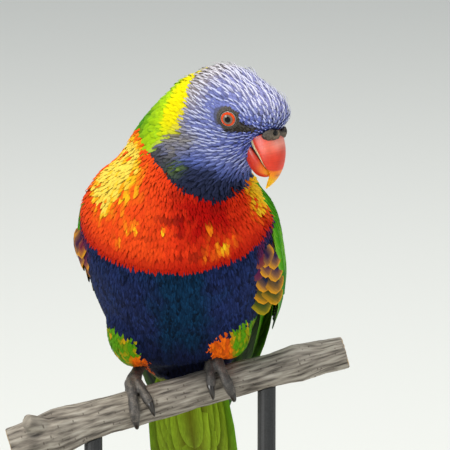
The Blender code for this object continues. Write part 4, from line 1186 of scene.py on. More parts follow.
def wing_feathers(side, rng):
    """Line, normals, widths, length, tilt and colours of each of one wing's feathers, deepest first."""
    feathers = []
    leaf = own_colour("wing")

    def lay(along, height, depth, widths, length, tilt, paint):
        line, up = wing_surface(side, along, height, -depth - tucked(side, along, height))
        feathers.append((line, up, widths, length, math.radians(tilt) * side, paint))

    for rank, row in enumerate(FLIGHT_ROWS):
        count, roots, tips, root_shares, tip_shares, width, depth, deeper, tilt, pointed = row
        inner_shade, edge_shade = WEB_SHADES[rank]
        for i in range(count):
            place = i / (count - 1)
            root = between(roots, place)
            tip = between(tips, place) + rng.uniform(-1, 1)
            eased = 1 - (1 - LONG_SHARES) ** 1.15
            height = between((between(root_shares, place), between(tip_shares, place)), eased)
            sunk = depth + deeper * (count - 1 - i) * eased + 1.9 * np.maximum(0, 1 - LONG_SHARES / 0.22)
            green = blend(leaf, GREEN_DARK, 0.25 + 0.3 * rng.random())
            paint = (green, green * inner_shade, GREEN_LIGHT * edge_shade)
            if rank == 0:
                paint = (leaf * 0.8, PRIMARY_WEB, GREEN_LIGHT * edge_shade)
            widths = width * quill_width(eased, pointed)
            lay(between((root, tip), eased), height, sunk, widths, abs(tip - root), tilt, paint)
    for count, root, tip, width, depth in LESSER_ROWS:
        for i in range(count):
            place = 0.05 + 0.9 * (i + rng.uniform(-0.2, 0.2)) / (count - 1)
            along = between((root, tip), LONG_SHARES) + rng.uniform(-0.8, 0.8)
            height = np.full(len(LONG_SHARES), np.clip(place, 0.03, 0.97))
            sunk = depth + 1.4 * np.maximum(0, 1 - LONG_SHARES / 0.3)
            green = blend(leaf, GREEN_LIGHT, 0.12 * rng.random())
            widths = width * quill_width(LONG_SHARES, 0.25)
            lay(along, height, sunk, widths, abs(tip - root), 7, (green, green, GREEN_LIGHT * 0.8))
    return feathers


def long_vanes(name, feathers, rng, replaced):
    """Piece of long feathers from their lines, normals, widths, lengths, tilts and colours."""
    centres, up, widths, lengths, tilts, paints = (np.array(values) for values in zip(*feathers))
    form = dict(shaft=0.22, camber=0.10, tilt=tilts[:, None, None], thickness=0.22)
    points = vane_points(centres, up, widths, LONG_ACROSS, **form)
    outer, inner, edge = (paints[:, k] for k in range(3))
    chance = rng.random(len(feathers))
    colours = long_colours(len(feathers), LONG_SHARES, LONG_ACROSS, outer, inner, edge, chance)
    places = vane_places(widths, lengths, LONG_SHARES, LONG_ACROSS)
    rank = np.arange(len(feathers))
    roots = np.column_stack((0.02 + 0.96 * (rank % 31) / 31, 0.02 + 0.96 * (rank // 31) / 31))
    material = feather_keratin("flight_feather_keratin", streak=0.16, split=0.35, roughness=0.5, gloss=0.05)
    finished(name, vane_mesh(name, points, colours, places, roots), material, replaced)


def make_wing(word, side):
    rng = np.random.default_rng(SEED + side)
    long_vanes("plumes_wing_" + word, wing_feathers(side, rng), rng, ["wing_" + word])


# Tail feathers from the middle pair outwards: length, and the seat's distance from the middle and depth.
TAIL_LENGTHS = (125, 118, 108, 98, 88, 78)
TAIL_SEATS = ((1.2, 0.9), (6.0, 2.6), (6.8, 3.42), (7.6, 4.24), (8.4, 5.06), (9.2, 5.88))
# Tail coverts: distance out from the middle, depth under the tail's root, and length.
UPPER_COVERTS = (
    (0.0, -1.9, 43), (4.6, -1.03, 39), (7.6, -0.15, 31), (2.4, -2.3, 34), (6.2, -1.2, 29),
    (0.0, -2.9, 26), (4.4, -2.4, 23),
)
LOWER_COVERTS = (
    (0.0, 8.7, 51), (4.2, 7.85, 46), (7.6, 7.0, 39), (2.2, 9.1, 40), (6.0, 8.2, 34),
    (0.0, 9.6, 31), (4.2, 8.9, 28), (7.9, 6.3, 46), (7.4, 5.3, 40), (5.0, 6.6, 36),
)


def tail_line(side, out, down, length, turn, bow):
    """Middle line of a tail feather from its seat."""
    reach = length * LONG_SHARES
    sideways = side * (out + math.tan(turn) * reach)
    sunk = down * np.minimum(1.0, 0.4 + LONG_SHARES / 0.3)
    curve = bow * np.sin(math.pi * LONG_SHARES)
    start = TAIL_ROOT - TAIL_ALONG * TAIL_INSIDE
    line = start + reach[:, None] * TAIL_ALONG + sideways[:, None] * X_AXIS
    return line - (sunk + curve)[:, None] * TAIL_UP


def make_tail():
    rng = np.random.default_rng(SEED + 7)
    feathers = []
    ups = np.tile(TAIL_UP, (len(LONG_SHARES), 1))

    def lay(side, out, down, length, width, turn, pointed, bow, paint):
        line = tail_line(side, out, down, length, turn, bow)
        tilt = math.radians(6) * side if out else 0.0
        feathers.append((line, ups, width * quill_width(LONG_SHARES, pointed), length, tilt, paint))

    green = own_colour("wing")
    for rank, ((out, down), length) in enumerate(zip(TAIL_SEATS, TAIL_LENGTHS)):
        for side in (-1, 1):
            lower = down + (0.85 if side < 0 and rank == 0 else 0.0)
            paint = (green * 0.85, green * 0.75 if rank < 2 else VENT * 0.9, GREEN_LIGHT * 0.7)
            lay(side, out, lower, length, 11.0, math.radians(0.45) * rank, 0.95, 0.0, paint)
    for seats, bow, shade in ((UPPER_COVERTS, -0.8, green), (LOWER_COVERTS, 0.9, VENT)):
        paint = (shade, shade * 0.85, blend(shade, GREEN_LIGHT, 0.6))
        for out, down, length in seats:
            for side in (-1, 1) if out else (1,):
                length += rng.uniform(-1, 1)
                lay(side, out, down, length, 9.0, 0.02, 0.5, bow, paint)
    long_vanes("plumes_tail", feathers, rng, ["tail"])


# Eyes


def ball(bm, centre, turn, radius, rings, segments):
    """Ball whose poles lie along the third axis of turn."""
    place = Matrix.Translation(Vector(centre)) @ turn.to_4x4() @ Matrix.Scale(radius, 4)
    bmesh.ops.create_uvsphere(bm, u_segments=segments, v_segments=rings, radius=1.0, matrix=place)


# Colours of the eye from the pupil's middle outwards: distance in millimetres over 4.
EYE_RINGS = (
    (0.0, "#000000"), (0.245, "#010101"), (0.265, "#2c2620"), (0.30, "#6a6056"), (0.42, "#857868"),
    (0.445, "#8a3216"), (0.49, "#ee5420"), (0.59, "#f0501c"), (0.625, "#cf3410"), (0.645, "#4a1a10"),
    (0.66, "#b4b8b0"), (0.69, "#8b8f88"), (0.71, "#191613"), (1.0, "#12100e"),
)


# Living eye: a wet, clear cornea over an orange-red iris. The wet film gives a sharp highlight, and the iris
# has fine radial threads, drawn about 0.15 mm wide so that they show.
@functools.cache
def wet_eye():
    material, tree, shader = new_material("wet_eye")
    radial = add(tree, "ShaderNodeUVMap", {}, uv_map="Radial")
    away = add(tree, "ShaderNodeSeparateXYZ", {"Vector": radial}, "Y")
    threads_at = add(tree, "ShaderNodeMapping", {"Vector": radial, "Scale": (90.0, 0.7, 1)})
    threads = add(tree, "ShaderNodeTexNoise", {"Vector": threads_at, "Scale": 1.0, "Detail": 3.0})
    wander = add(tree, "ShaderNodeMath", {0: threads, 1: 0.05, 2: away}, operation="MULTIPLY_ADD")
    rings = add(tree, "ShaderNodeValToRGB", {"Fac": wander}, stops=EYE_RINGS)
    fleck = add(tree, "ShaderNodeMapRange", {0: threads, 1: 0.3, 2: 0.7, 3: 0.72, 4: 1.22})
    colour = add(tree, "ShaderNodeVectorMath", {0: rings, "Scale": fleck}, operation="SCALE")
    flesh = {"Base Color": colour, "Roughness": 0.4, "IOR": 1.376, "Specular IOR Level": 0.0}
    film = {"Coat Weight": 0.8, "Coat Roughness": 0.02, "Coat IOR": 1.34}
    plug(tree, shader, {**flesh, **film})
    return material


def make_eye(word, side):
    centre, gaze = eye_line(side)
    bm = bmesh.new()
    ball(bm, centre, Vector(gaze).to_track_quat("Z", "Y").to_matrix(), EYE_RADIUS, 64, 64)
    radial_uv = bm.loops.layers.uv.new("Radial")
    bake_uv = bm.loops.layers.uv.new("OFBake")
    across, up = (Vector(axis) for axis in eye_axes(gaze))
    for face in bm.faces:
        middle = face.calc_center_median() - Vector(centre)
        turn_at = math.atan2(middle.dot(up), middle.dot(across))
        for loop in face.loops:
            away = loop.vert.co - Vector(centre)
            x, y = away.dot(across), away.dot(up)
            radius = math.hypot(x, y)
            turn = math.atan2(y, x) if radius > 1e-4 else turn_at
            turn += 2 * math.pi * round((turn_at - turn) / (2 * math.pi))
            if away.dot(Vector(gaze)) <= 0:
                radius = 2 * EYE_RADIUS - radius
            loop[radial_uv].uv = (turn / (2 * math.pi), radius / 4)
            loop[bake_uv].uv = (0.5 + 0.055 * radius * math.cos(turn), 0.5 + 0.055 * radius * math.sin(turn))
    finished("eyeball_" + word, mesh_in_metres("eyeball_" + word, bm), wet_eye(), ["eye_" + word])
    make_lids(word, centre, gaze)


# Lid section from the eye outwards and back underneath: distance from the line of sight, and height over the
# eye's middle.
LID_SECTION = (
    (2.76, 3.24), (2.84, 3.42), (3.0, 3.5), (3.15, 3.42), (3.28, 3.26), (3.42, 3.24), (3.58, 3.14),
    (3.72, 2.92), (3.86, 2.8), (4.02, 2.5), (4.2, 1.9), (4.4, 0.9),
    (4.2, 0.2), (3.8, 0.6), (3.4, 1.3), (2.9, 2.2),
)
def make_lids(word, centre, gaze):
    """Bare ring round an eye: a beaded rim and a granular skirt that runs under the feathers."""
    across, up = eye_axes(gaze)
    bm = bmesh.new()
    corners = [bm.verts.new(Vector(centre + across * r + gaze * h)) for r, h in LID_SECTION]
    edges = [bm.edges.new((a, b)) for a, b in zip(corners, corners[1:] + corners[:1])]
    full_turn = dict(angle=2 * math.pi, steps=120, use_merge=True)
    bmesh.ops.spin(bm, geom=corners + edges, cent=Vector(centre), axis=Vector(gaze), **full_turn)
    bmesh.ops.remove_doubles(bm, verts=bm.verts, dist=1e-5)
    bmesh.ops.recalc_face_normals(bm, faces=bm.faces)
    points, normals = places_of(bm)
    forward, radial = off_sight(points, centre, gaze)
    turn = np.arctan2((points - centre) @ up, (points - centre) @ across)
    beads = np.cos(turn * 34 + 5 * np.floor(radial / 0.42)) * step((radial - 2.8) / 0.3)
    lumps = 0.625 * rough_field(points * 1.9, 1.0)
    points = points + normals * (0.10 * step((forward - 1.2) / 0.8) * (beads + lumps))[:, None]
    move_to(bm, points)
    _, radial = off_sight(points, centre, gaze)
    grain = 0.35 + 0.44 * rough_field(points * 2.6, 1.0) + 0.3 * np.cos(radial * 13.5 - 1.2)
    colours = blend(BARE_SKIN, BARE_LIGHT, np.clip(grain, 0, 1))
    mesh = mesh_in_metres("lids_" + word, bm)
    set_colours(mesh, "Plumage", blend(colours, srgb("#15120f"), 0.75 * step((3.0 - radial) / 0.2)))
    set_uv(mesh, "OFBake", 0.5 + 0.08 * (points - centre) @ np.column_stack((across, up)))
    finished("lids_" + word, mesh, granular_skin())


# Bill and cere

# Upper mandible stations: culmen (f, u), cutting edge (f, u), half width. The lower one's are its cutting
# edge, keel and half width.
UPPER_BILL = (
    (13.2, 1.2, 7.2, -5.4, 5.4),
    (15.8, -0.9, 9.8, -7.4, 5.5),
    (18.0, -3.8, 12.4, -8.7, 5.4),
    (19.5, -7.2, 14.8, -10.3, 5.0),
    (20.3, -10.8, 17.0, -11.7, 4.1),
    (20.4, -13.6, 18.3, -13.4, 2.9),
    (19.8, -16.5, 18.2, -16.2, 1.7),
    (18.5, -19.3, 18.1, -19.2, 0.35),
)
LOWER_BILL = (
    (6.8, -7.4, 9.0, -15.0, 4.4),
    (10.0, -8.7, 11.6, -16.2, 4.5),
    (12.7, -9.9, 13.8, -16.7, 4.1),
    (15.2, -11.4, 15.8, -16.2, 3.4),
    (17.0, -12.4, 17.3, -15.2, 2.3),
    (18.0, -13.1, 18.1, -14.1, 0.7),
)


def extruded(bm, rings):
    """Closed body through equal rings of points: a circle's edges extruded and set in place ring by ring."""
    size = len(rings[0])
    made = bmesh.ops.create_circle(bm, segments=size, radius=1.0, cap_ends=False)
    current = made["verts"]
    for vertex, place in zip(current, rings[0]):
        vertex.co = place
    rows = [current]
    for ring in rings[1:]:
        pairs = [bm.edges.get((current[i], current[(i + 1) % size])) for i in range(size)]
        out = bmesh.ops.extrude_edge_only(bm, edges=pairs)
        fresh = {item for item in out["geom"] if isinstance(item, bmesh.types.BMVert)}
        following = [next(e.other_vert(v) for e in v.link_edges if e.other_vert(v) in fresh) for v in current]
        for vertex, place in zip(following, ring):
            vertex.co = place
        current = following
        rows.append(current)
    for row in (rows[0], rows[-1]):
        bmesh.ops.contextual_create(bm, geom=row)
    bmesh.ops.recalc_face_normals(bm, faces=bm.faces)
    return rows


# Bill sheath of keratin, grown in layers and worn smooth. It gives a satin gloss with faint growth lines,
# 0.6 mm apart, and a paler worn cutting edge.
@functools.cache
def bill_keratin():
    material, tree, shader = new_material("bill_keratin")
    colour = add(tree, "ShaderNodeAttribute", {}, attribute_name="Plumage")
    growth = add(tree, "ShaderNodeUVMap", {}, uv_map="Growth")
    lines_at = add(tree, "ShaderNodeMapping", {"Vector": growth, "Scale": (3.0, 40.0, 1)})
    lines = add(tree, "ShaderNodeTexNoise", {"Vector": lines_at, "Scale": 1.0, "Detail": 4.0})
    place = add(tree, "ShaderNodeTexCoord", {}, "Object")
    cloud = add(tree, "ShaderNodeTexNoise", {"Vector": place, "Scale": 420.0, "Detail": 3.0})
    tone = add(tree, "ShaderNodeMath", {0: lines, 1: cloud}, operation="ADD")
    shade = add(tree, "ShaderNodeMapRange", {0: tone, 1: 0.7, 2: 1.3, 3: 0.86, 4: 1.12})
    shaded = add(tree, "ShaderNodeVectorMath", {0: colour, "Scale": shade}, operation="SCALE")
    rough = add(tree, "ShaderNodeMapRange", {0: cloud, 1: 0.3, 2: 0.7, 3: 0.28, 4: 0.42})
    relief = add(tree, "ShaderNodeBump", {"Height": lines, "Strength": 0.25, "Distance": 0.00008})
    horn = {"Base Color": shaded, "Normal": relief, "Roughness": rough, "IOR": KERATIN_IOR}
    depth = {"Subsurface Weight": 0.12, "Subsurface Radius": (0.002, 0.0006, 0.0003), "Subsurface Scale": 1.0}
    plug(tree, shader, {**horn, **depth, "Specular IOR Level": 0.3})
    return material


# Lower rim of the upper mandible's swollen part: f, and u there.
BULB_RIM = ((9.0, -11.6), (18.3, -11.4), (19.6, -11.1), (20.3, -10.5), (20.6, -9.0))


def bill_colours(f, u, high, under, upper):
    """Colours of a mandible from places in the head's frame and the height over its cutting edge."""
    red = np.tile(own_colour("bill"), (len(f), 1))
    # One dark brown serves both the small mark at the hook's tip and painted shade in the gap between the
    # mandibles.
    orange, yellow, tip_mark_and_gap_shade = srgb("#ff8c0c"), srgb("#ffbe08"), srgb("#2a1810")
    if not upper:
        body = blend(red * 0.92, orange, 0.9 * step((f - 12.5) / 4.5) * step((u + 15.2) / 1.5))
        body = blend(body, yellow, 0.6 * step((f - 15.5) / 2.5) * step((u + 14.5) / 1.2))
        # The lower mandible's inner face at the mouth is darkened: painted shade of the gap between the
        # mandibles.
        return blend(body, tip_mark_and_gap_shade, 0.7 * under)
    below = edge_at(BULB_RIM, f) - u
    pink = np.exp(-((f - 16.4) ** 2 + (u + 1.6) ** 2) / 2.6**2)
    body = blend(red, srgb("#f4ab98"), 0.75 * pink)
    # A broad, soft, paler salmon patch on each side of the upper mandible is a painted highlight.
    body = blend(body, srgb("#f3836a"), 0.5 * np.exp(-(((f - 14.6) ** 2 + (u + 5.0) ** 2) / 2.2**2)))
    tip = blend(orange, yellow, step((-12.4 - u) / 3.0))
    body = blend(body, tip, step((below + 0.1) / 0.5))
    rim = step((0.11 - high) / 0.04) * step((0.2 - below) / 0.3) * (1 - 0.5 * under)
    body = blend(body, srgb("#fff3bc"), rim)
    # The upper mandible's underside is darkened, except under the hook: painted shade of the gap between the
    # mandibles.
    body = blend(body, tip_mark_and_gap_shade, 0.75 * under * step((0.5 - below) / 0.5))
    return blend(body, tip_mark_and_gap_shade, 0.9 * np.exp(-((f - 20.9) ** 2 + (u + 12.7) ** 2) / 0.55**2))


def make_mandible(word, table):
    """One mandible, finer than its solid, with the upper one stepped in under its swollen part."""
    upper = word == "upper"
    steps, around = 48, 96
    rings, places = [], []
    for i in range(steps + 1):
        share = i / steps
        f_top, u_top, f_low, u_low, width = catmull(table, share * (len(table) - 1))[0]
        edge, crest = np.array((f_low, u_low)), np.array((f_top, u_top))
        if not upper:
            edge, crest = crest, edge
        ring = []
        for k in range(around):
            angle = 2 * math.pi * k / around
            over = math.sin(angle)
            high = over**0.95 if over >= 0 else -0.10 * over
            spread = abs(math.cos(angle)) ** 0.8 * (1 - 0.12 * math.exp(-((high / 0.13) ** 2)))
            f, u = edge + (crest - edge) * high
            below = float(edge_at(BULB_RIM, f) - u) if upper else -9.0
            half = max(width - 0.4 * float(step((below + 0.15) / 0.3)), 0.25) * spread
            ring.append(Vector(from_head(f, math.copysign(half, math.cos(angle)), u)))
            places.append((f, u, high, over < -0.05, k / around, share))
        rings.append(ring)
    bm = bmesh.new()
    extruded(bm, rings)
    mesh = mesh_in_metres("bill_sheath_" + word, bm)
    places = np.array(places)
    set_colours(mesh, "Plumage", bill_colours(*places[:, :4].T, upper))
    growth = places[:, 4:]
    set_uv(mesh, "Growth", growth)
    set_uv(mesh, "OFBake", growth * 0.96 + 0.02)
    finished("bill_sheath_" + word, mesh, bill_keratin(), ["bill_" + word])


def make_cere():
    """Granular saddle over the bill's root, with its nostrils."""
    bm = node_copy(["cere"])
    for side in (-1, 1):
        ball(bm, from_head(13.3, 2.3 * side, -0.1), Matrix.Identity(3), 1.25, 12, 16)
    bm = one_surface(bm, 0.26, 2)
    points, normals = places_of(bm)
    h = folded(points)
    swell = 0.4 * np.exp(-(((np.linalg.norm(h - NOSTRIL, axis=1) - 1.6) / 0.8) ** 2))
    swell -= 0.5 * step((12.4 - h[:, 0]) / 2.4) + 0.35 * step((1.6 - h[:, 1]) / 1.2)
    lump = 0.1875 * rough_field(points, 1.25) + 0.05 * rough_field(points * 3.2, 1.0)
    points = points + normals * (lump + swell)[:, None]
    move_to(bm, points)
    h = folded(points)
    away = np.linalg.norm(h - NOSTRIL, axis=1)
    rim = np.exp(-(((away - 1.5) / 0.5) ** 2))
    grain = step(0.5 + rough_field(points, 0.9))
    colours = blend(srgb("#2b2722"), srgb("#4c443b"), grain)
    front = step((h[:, 0] - 13.6) / 1.6)
    dome = np.exp(-(np.linalg.norm(h * (1, 0, 1) - (14.6, 0, -0.2), axis=1) / 2.2) ** 2)
    colours = blend(colours, srgb("#8f7c64"), np.maximum((0.35 + 0.5 * front) * rim, 0.4 * dome))
    # The sunken strip along the cere's top between the nostrils is darkened: painted shade in that groove.
    groove_shade = step((h[:, 2] - 0.9) / 0.9) * step((1.9 - h[:, 1]) / 0.7)
    colours = blend(colours, srgb("#1a1613"), 0.8 * groove_shade)
    mesh = mesh_in_metres("cere_skin", bm)
    # Each nostril is a near-black disc: painted shade standing in for its opening, which the mesh does not
    # have.
    set_colours(mesh, "Plumage", blend(colours, srgb("#0c0a08"), step((1.15 - away) / 0.3)))
    turn = np.arctan2(in_head(points)[:, 1], h[:, 2] + 0.6) / (2 * math.pi) + 0.5
    set_uv(mesh, "OFBake", np.column_stack((0.02 + 0.96 * turn, np.clip((h[:, 0] - 5) / 12, 0, 1))))
    finished("cere_skin", mesh, granular_skin(), ["cere"])


# Feet

PERCH_RADIUS = 6.4
PERCH_TILT = math.radians(15)
PERCH_YAW = math.radians(10)
PERCH_LEVEL = np.array((math.cos(PERCH_YAW), math.sin(PERCH_YAW), 0.0))
PERCH_AXIS = PERCH_LEVEL * math.cos(PERCH_TILT) + Z_AXIS * math.sin(PERCH_TILT)
GRIP_FORWARD = unit(np.cross(PERCH_AXIS, Z_AXIS))
GRIP_UP = np.cross(PERCH_AXIS, GRIP_FORWARD)
if GRIP_UP[2] < 0:
    GRIP_UP = -GRIP_UP
if GRIP_FORWARD[1] > 0:
    GRIP_FORWARD = -GRIP_FORWARD
FOOT_X = 14.5
THIGH_END = np.array((14.7, 10.0, 13.0))
# Toes: name, degrees round the branch to the tip, spread along the branch at the tip, radius at the base.
TOES = (
    ("inner_front", 82, -3.6, 2.0),
    ("outer_front", 112, 3.0, 2.15),
    ("outer_back", -104, 3.4, 2.0),
    ("inner_back", -70, -3.0, 1.8),
)


def round_branch(side, degrees, reach, along):
    """Point at an angle round the branch from its top, forward positive."""
    angle = math.radians(degrees)
    centre = PERCH_AXIS * (side * FOOT_X + along)
    return centre + (GRIP_UP * math.cos(angle) + GRIP_FORWARD * math.sin(angle)) * reach


def tube_rings(line, radii, around, hint, flatten=1.0):
    """Rings of points round a line, with hint square to their sides."""
    line = np.array(line)
    along = unit(np.gradient(line, axis=0))
    side = unit(np.cross(along, hint))
    up = np.cross(side, along) * flatten
    turns = 2 * math.pi * np.arange(around)[:, None, None] / around
    rings = line + (side * np.cos(turns) + up * np.sin(turns)) * np.array(radii)[:, None]
    return np.swapaxes(rings, 0, 1)


# Horny scales of the feet, in rows across each toe, dry and matt. The scales are about 0.9 mm long, with
# darker joints between them.
@functools.cache
def toe_scale():
    material, tree, shader = new_material("toe_scale_keratin")
    colour = add(tree, "ShaderNodeAttribute", {}, attribute_name="Plumage")
    place = add(tree, "ShaderNodeTexCoord", {}, "Object")
    sockets = {"Vector": place, "Scale": 1150.0}
    plates = add(tree, "ShaderNodeTexVoronoi", sockets, "Distance", feature="DISTANCE_TO_EDGE")
    joint = add(tree, "ShaderNodeMapRange", {0: plates, 1: 0.0, 2: 0.18, 3: 0.55, 4: 1.05})
    shaded = add(tree, "ShaderNodeVectorMath", {0: colour, "Scale": joint}, operation="SCALE")
    relief = add(tree, "ShaderNodeBump", {"Height": joint, "Strength": 0.7, "Distance": 0.00015})
    plug(tree, shader, {"Base Color": shaded, "Normal": relief, "Roughness": 0.58})
    return material


def toe_rings(side, tip_degrees, spread, radius):
    """Rings of a toe from the sole round the branch, with scutes over its back."""
    line, radii = [], []
    stations = 30
    for k in range(stations + 1):
        share = k / stations
        pad = 1 + 0.10 * math.sin(math.pi * 3 * share + 0.6)
        size = radius * (1.08 - 0.28 * share) * pad
        degrees = tip_degrees * (0.03 + 0.97 * share)
        along = side * spread * (0.25 + 0.75 * share)
        line.append(round_branch(side, degrees, PERCH_RADIUS + 0.78 * size + 0.25, along))
        scute = abs(math.sin(math.pi * 11 * share)) ** 0.5 - 0.6
        radii.append(size * (1 + 0.06 * scute))
    return tube_rings(line, radii, 16, PERCH_AXIS, 0.92)


def make_foot(word, side):
    """Scaled shank and four toes of one foot."""
    bm = bmesh.new()
    sole = round_branch(side, -4, PERCH_RADIUS + 2.2, 0)
    drop = PERCH_AXIS[2] * side * FOOT_X
    ankle = THIGH_END * np.array((side, 1, 1)) + Z_AXIS * drop
    line = [
        ankle + np.array((0, 2.0, 3.5)),
        ankle,
        (ankle + sole) / 2 + GRIP_UP * 0.3,
        sole + GRIP_UP * 0.4,
        sole - GRIP_FORWARD * 0.4 - GRIP_UP * 1.2,
    ]
    line = catmull(np.array(line), np.linspace(0, 4, 21))
    sizes = np.array([[share * 2.2] for share in (0.9, 1.0, 0.95, 1.25, 0.55)])
    sizes = catmull(sizes, np.linspace(0, 4, 21))[:, 0]
    extruded(bm, tube_rings(line, sizes, 16, GRIP_FORWARD))
    for _, degrees, spread, size in TOES:
        extruded(bm, toe_rings(side, degrees, spread, size))
    bm = one_surface(bm, 0.30, 2)
    tree = tree_of(["perch"])
    points = places_of(bm)[0]
    grain = rough_field(points, 1.6)
    for vertex in bm.verts:
        place, normal, _, distance = tree.find_nearest(vertex.co)
        inside = (vertex.co - place).dot(normal) < 0
        if inside or distance < 0.12:
            vertex.co = place + normal * 0.12
    colours = blend(srgb("#4b4743"), srgb("#6d665e"), step(0.4 + grain))
    mesh = mesh_in_metres("scaled_foot_" + word, bm)
    set_colours(mesh, "Plumage", colours)
    around = points - PERCH_AXIS * (points @ PERCH_AXIS)[:, None]
    turn = np.arctan2(around @ GRIP_FORWARD, around @ GRIP_UP) / (2 * math.pi) + 0.5
    wide = np.clip((points @ PERCH_AXIS - side * FOOT_X) / 16 + 0.5, 0, 1)
    set_uv(mesh, "OFBake", np.column_stack((0.02 + 0.96 * turn, 0.02 + 0.96 * wide)))
    finished("scaled_foot_" + word, mesh, toe_scale(), ["foot_" + word])
    for name, degrees, spread, _ in TOES:
        make_claw(word, side, name, degrees, spread)


# Claw keratin, dark and worn glossy, with fine lines that run to the point, drawn 0.3 mm apart.
@functools.cache
def claw_keratin():
    material, tree, shader = new_material("claw_keratin")
    growth = add(tree, "ShaderNodeUVMap", {}, uv_map="Growth")
    lines_at = add(tree, "ShaderNodeMapping", {"Vector": growth, "Scale": (22.0, 1.5, 1)})
    lines = add(tree, "ShaderNodeTexNoise", {"Vector": lines_at, "Scale": 1.0, "Detail": 2.0})
    horn = add(tree, "ShaderNodeValToRGB", {"Fac": lines}, stops=((0.3, "#15120f"), (0.7, "#3a332c")))
    relief = add(tree, "ShaderNodeBump", {"Height": lines, "Strength": 0.3, "Distance": 0.00005})
    plug(tree, shader, {"Base Color": horn, "Normal": relief, "Roughness": 0.3, "IOR": KERATIN_IOR})
    return material


def make_claw(word, side, name, degrees, spread):
    turn = math.copysign(1.0, degrees)
    line, radii = [], []
    stations = 16
    for k in range(stations + 1):
        share = k / stations
        angle = degrees + turn * math.degrees(6.2 * share / (PERCH_RADIUS + 1.5)) - turn * 9
        reach = PERCH_RADIUS + 1.35 + 1.3 * math.sin(math.pi * (0.15 + 0.8 * share)) - 0.55 * share
        line.append(round_branch(side, angle, reach, side * spread * (0.98 + 0.1 * share)))
        radii.append(1.15 * (1 - share) ** 0.75 + 0.08)
    bm = bmesh.new()
    extruded(bm, tube_rings(line, radii, 14, PERCH_AXIS, 1.15))
    mesh = mesh_in_metres(f"horn_{word}_{name}", bm)
    growth = np.array([(k / 14, i / stations) for i in range(stations + 1) for k in range(14)])
    set_uv(mesh, "Growth", growth)
    set_uv(mesh, "OFBake", growth * 0.96 + 0.02)
    finished(f"horn_{word}_{name}", mesh, claw_keratin(), [f"claw_{word}_{name}"])


# Branch


# Weathered bark of a thin branch: grey, dry and matt, with lengthwise cracks 1 to 2 mm apart and dark brown
# lenticels. The cut ends show pale wood, mottled about 1 mm wide.
@functools.cache
def weathered_bark():
    material, tree, shader = new_material("weathered_bark")
    grain = add(tree, "ShaderNodeUVMap", {}, uv_map="Grain")
    cut = add(tree, "ShaderNodeAttribute", {}, "Fac", attribute_name="Cut")
    cracks_at = add(tree, "ShaderNodeMapping", {"Vector": grain, "Scale": (0.75, 0.10, 1)})
    cracks = add(tree, "ShaderNodeTexNoise", {"Vector": cracks_at, "Scale": 1.0, "Detail": 6.0})
    stops = ((0.30, "#3a342d"), (0.44, "#7d756a"), (0.58, "#a39b8e"), (0.75, "#c4bdb0"))
    weathered = add(tree, "ShaderNodeValToRGB", {"Fac": cracks}, stops=stops)
    spots_at = add(tree, "ShaderNodeMapping", {"Vector": grain, "Scale": (0.35, 0.55, 1)})
    spots = add(tree, "ShaderNodeTexVoronoi", {"Vector": spots_at, "Scale": 1.0})
    dots = add(tree, "ShaderNodeMapRange", {0: spots, 1: 0.10, 2: 0.2, 3: 0.7, 4: 0.0})
    sockets = {0: dots, 6: weathered, 7: (*srgb("#4a3f34"), 1)}
    bark = add(tree, "ShaderNodeMix", sockets, 2, data_type="RGBA")
    place = add(tree, "ShaderNodeTexCoord", {}, "Object")
    mottle = add(tree, "ShaderNodeTexNoise", {"Vector": place, "Scale": 900.0, "Detail": 3.0})
    wood = add(tree, "ShaderNodeValToRGB", {"Fac": mottle}, stops=((0.3, "#9a7a52"), (0.7, "#d2b688")))
    whole = add(tree, "ShaderNodeMix", {0: cut, 6: bark, 7: wood}, 2, data_type="RGBA")
    relief = add(tree, "ShaderNodeBump", {"Height": cracks, "Strength": 0.8, "Distance": 0.0006})
    plug(tree, shader, {"Base Color": whole, "Normal": relief, "Roughness": 0.85})
    return material


def make_branch():
    bm = one_surface(node_copy(["perch"]), 0.55, 2)
    points, normals = places_of(bm)
    along = points @ PERCH_AXIS
    around = points - PERCH_AXIS * along[:, None]
    turn = np.arctan2(around @ GRIP_FORWARD, around @ GRIP_UP)
    girth = turn * PERCH_RADIUS
    stretched = (np.cos(turn) * PERCH_RADIUS, np.sin(turn) * PERCH_RADIUS, along * 0.14)
    fissures = rough_field(np.column_stack(stretched), 1.5) * 0.16 + rough_field(points, 4.0) * 0.10
    move_to(bm, points + normals * np.minimum(fissures - 0.06, 0.12)[:, None])
    ends = step((np.abs(normals @ PERCH_AXIS) - 0.75) / 0.15) * (np.abs(along + 1) > 59)
    mesh = mesh_in_metres("bark_branch", bm)
    set_colours(mesh, "Cut", np.repeat(ends[:, None], 3, axis=1))
    set_uv(mesh, "Grain", np.column_stack((girth, along)), 2 * math.pi * PERCH_RADIUS)
    bake = np.column_stack((turn / (2 * math.pi) + 0.5, np.clip((along + 66) / 132, 0, 1))) * 0.96 + 0.02
    set_uv(mesh, "OFBake", bake, 0.96)
    finished("bark_branch", mesh, weathered_bark(), ["perch"])


# Stand


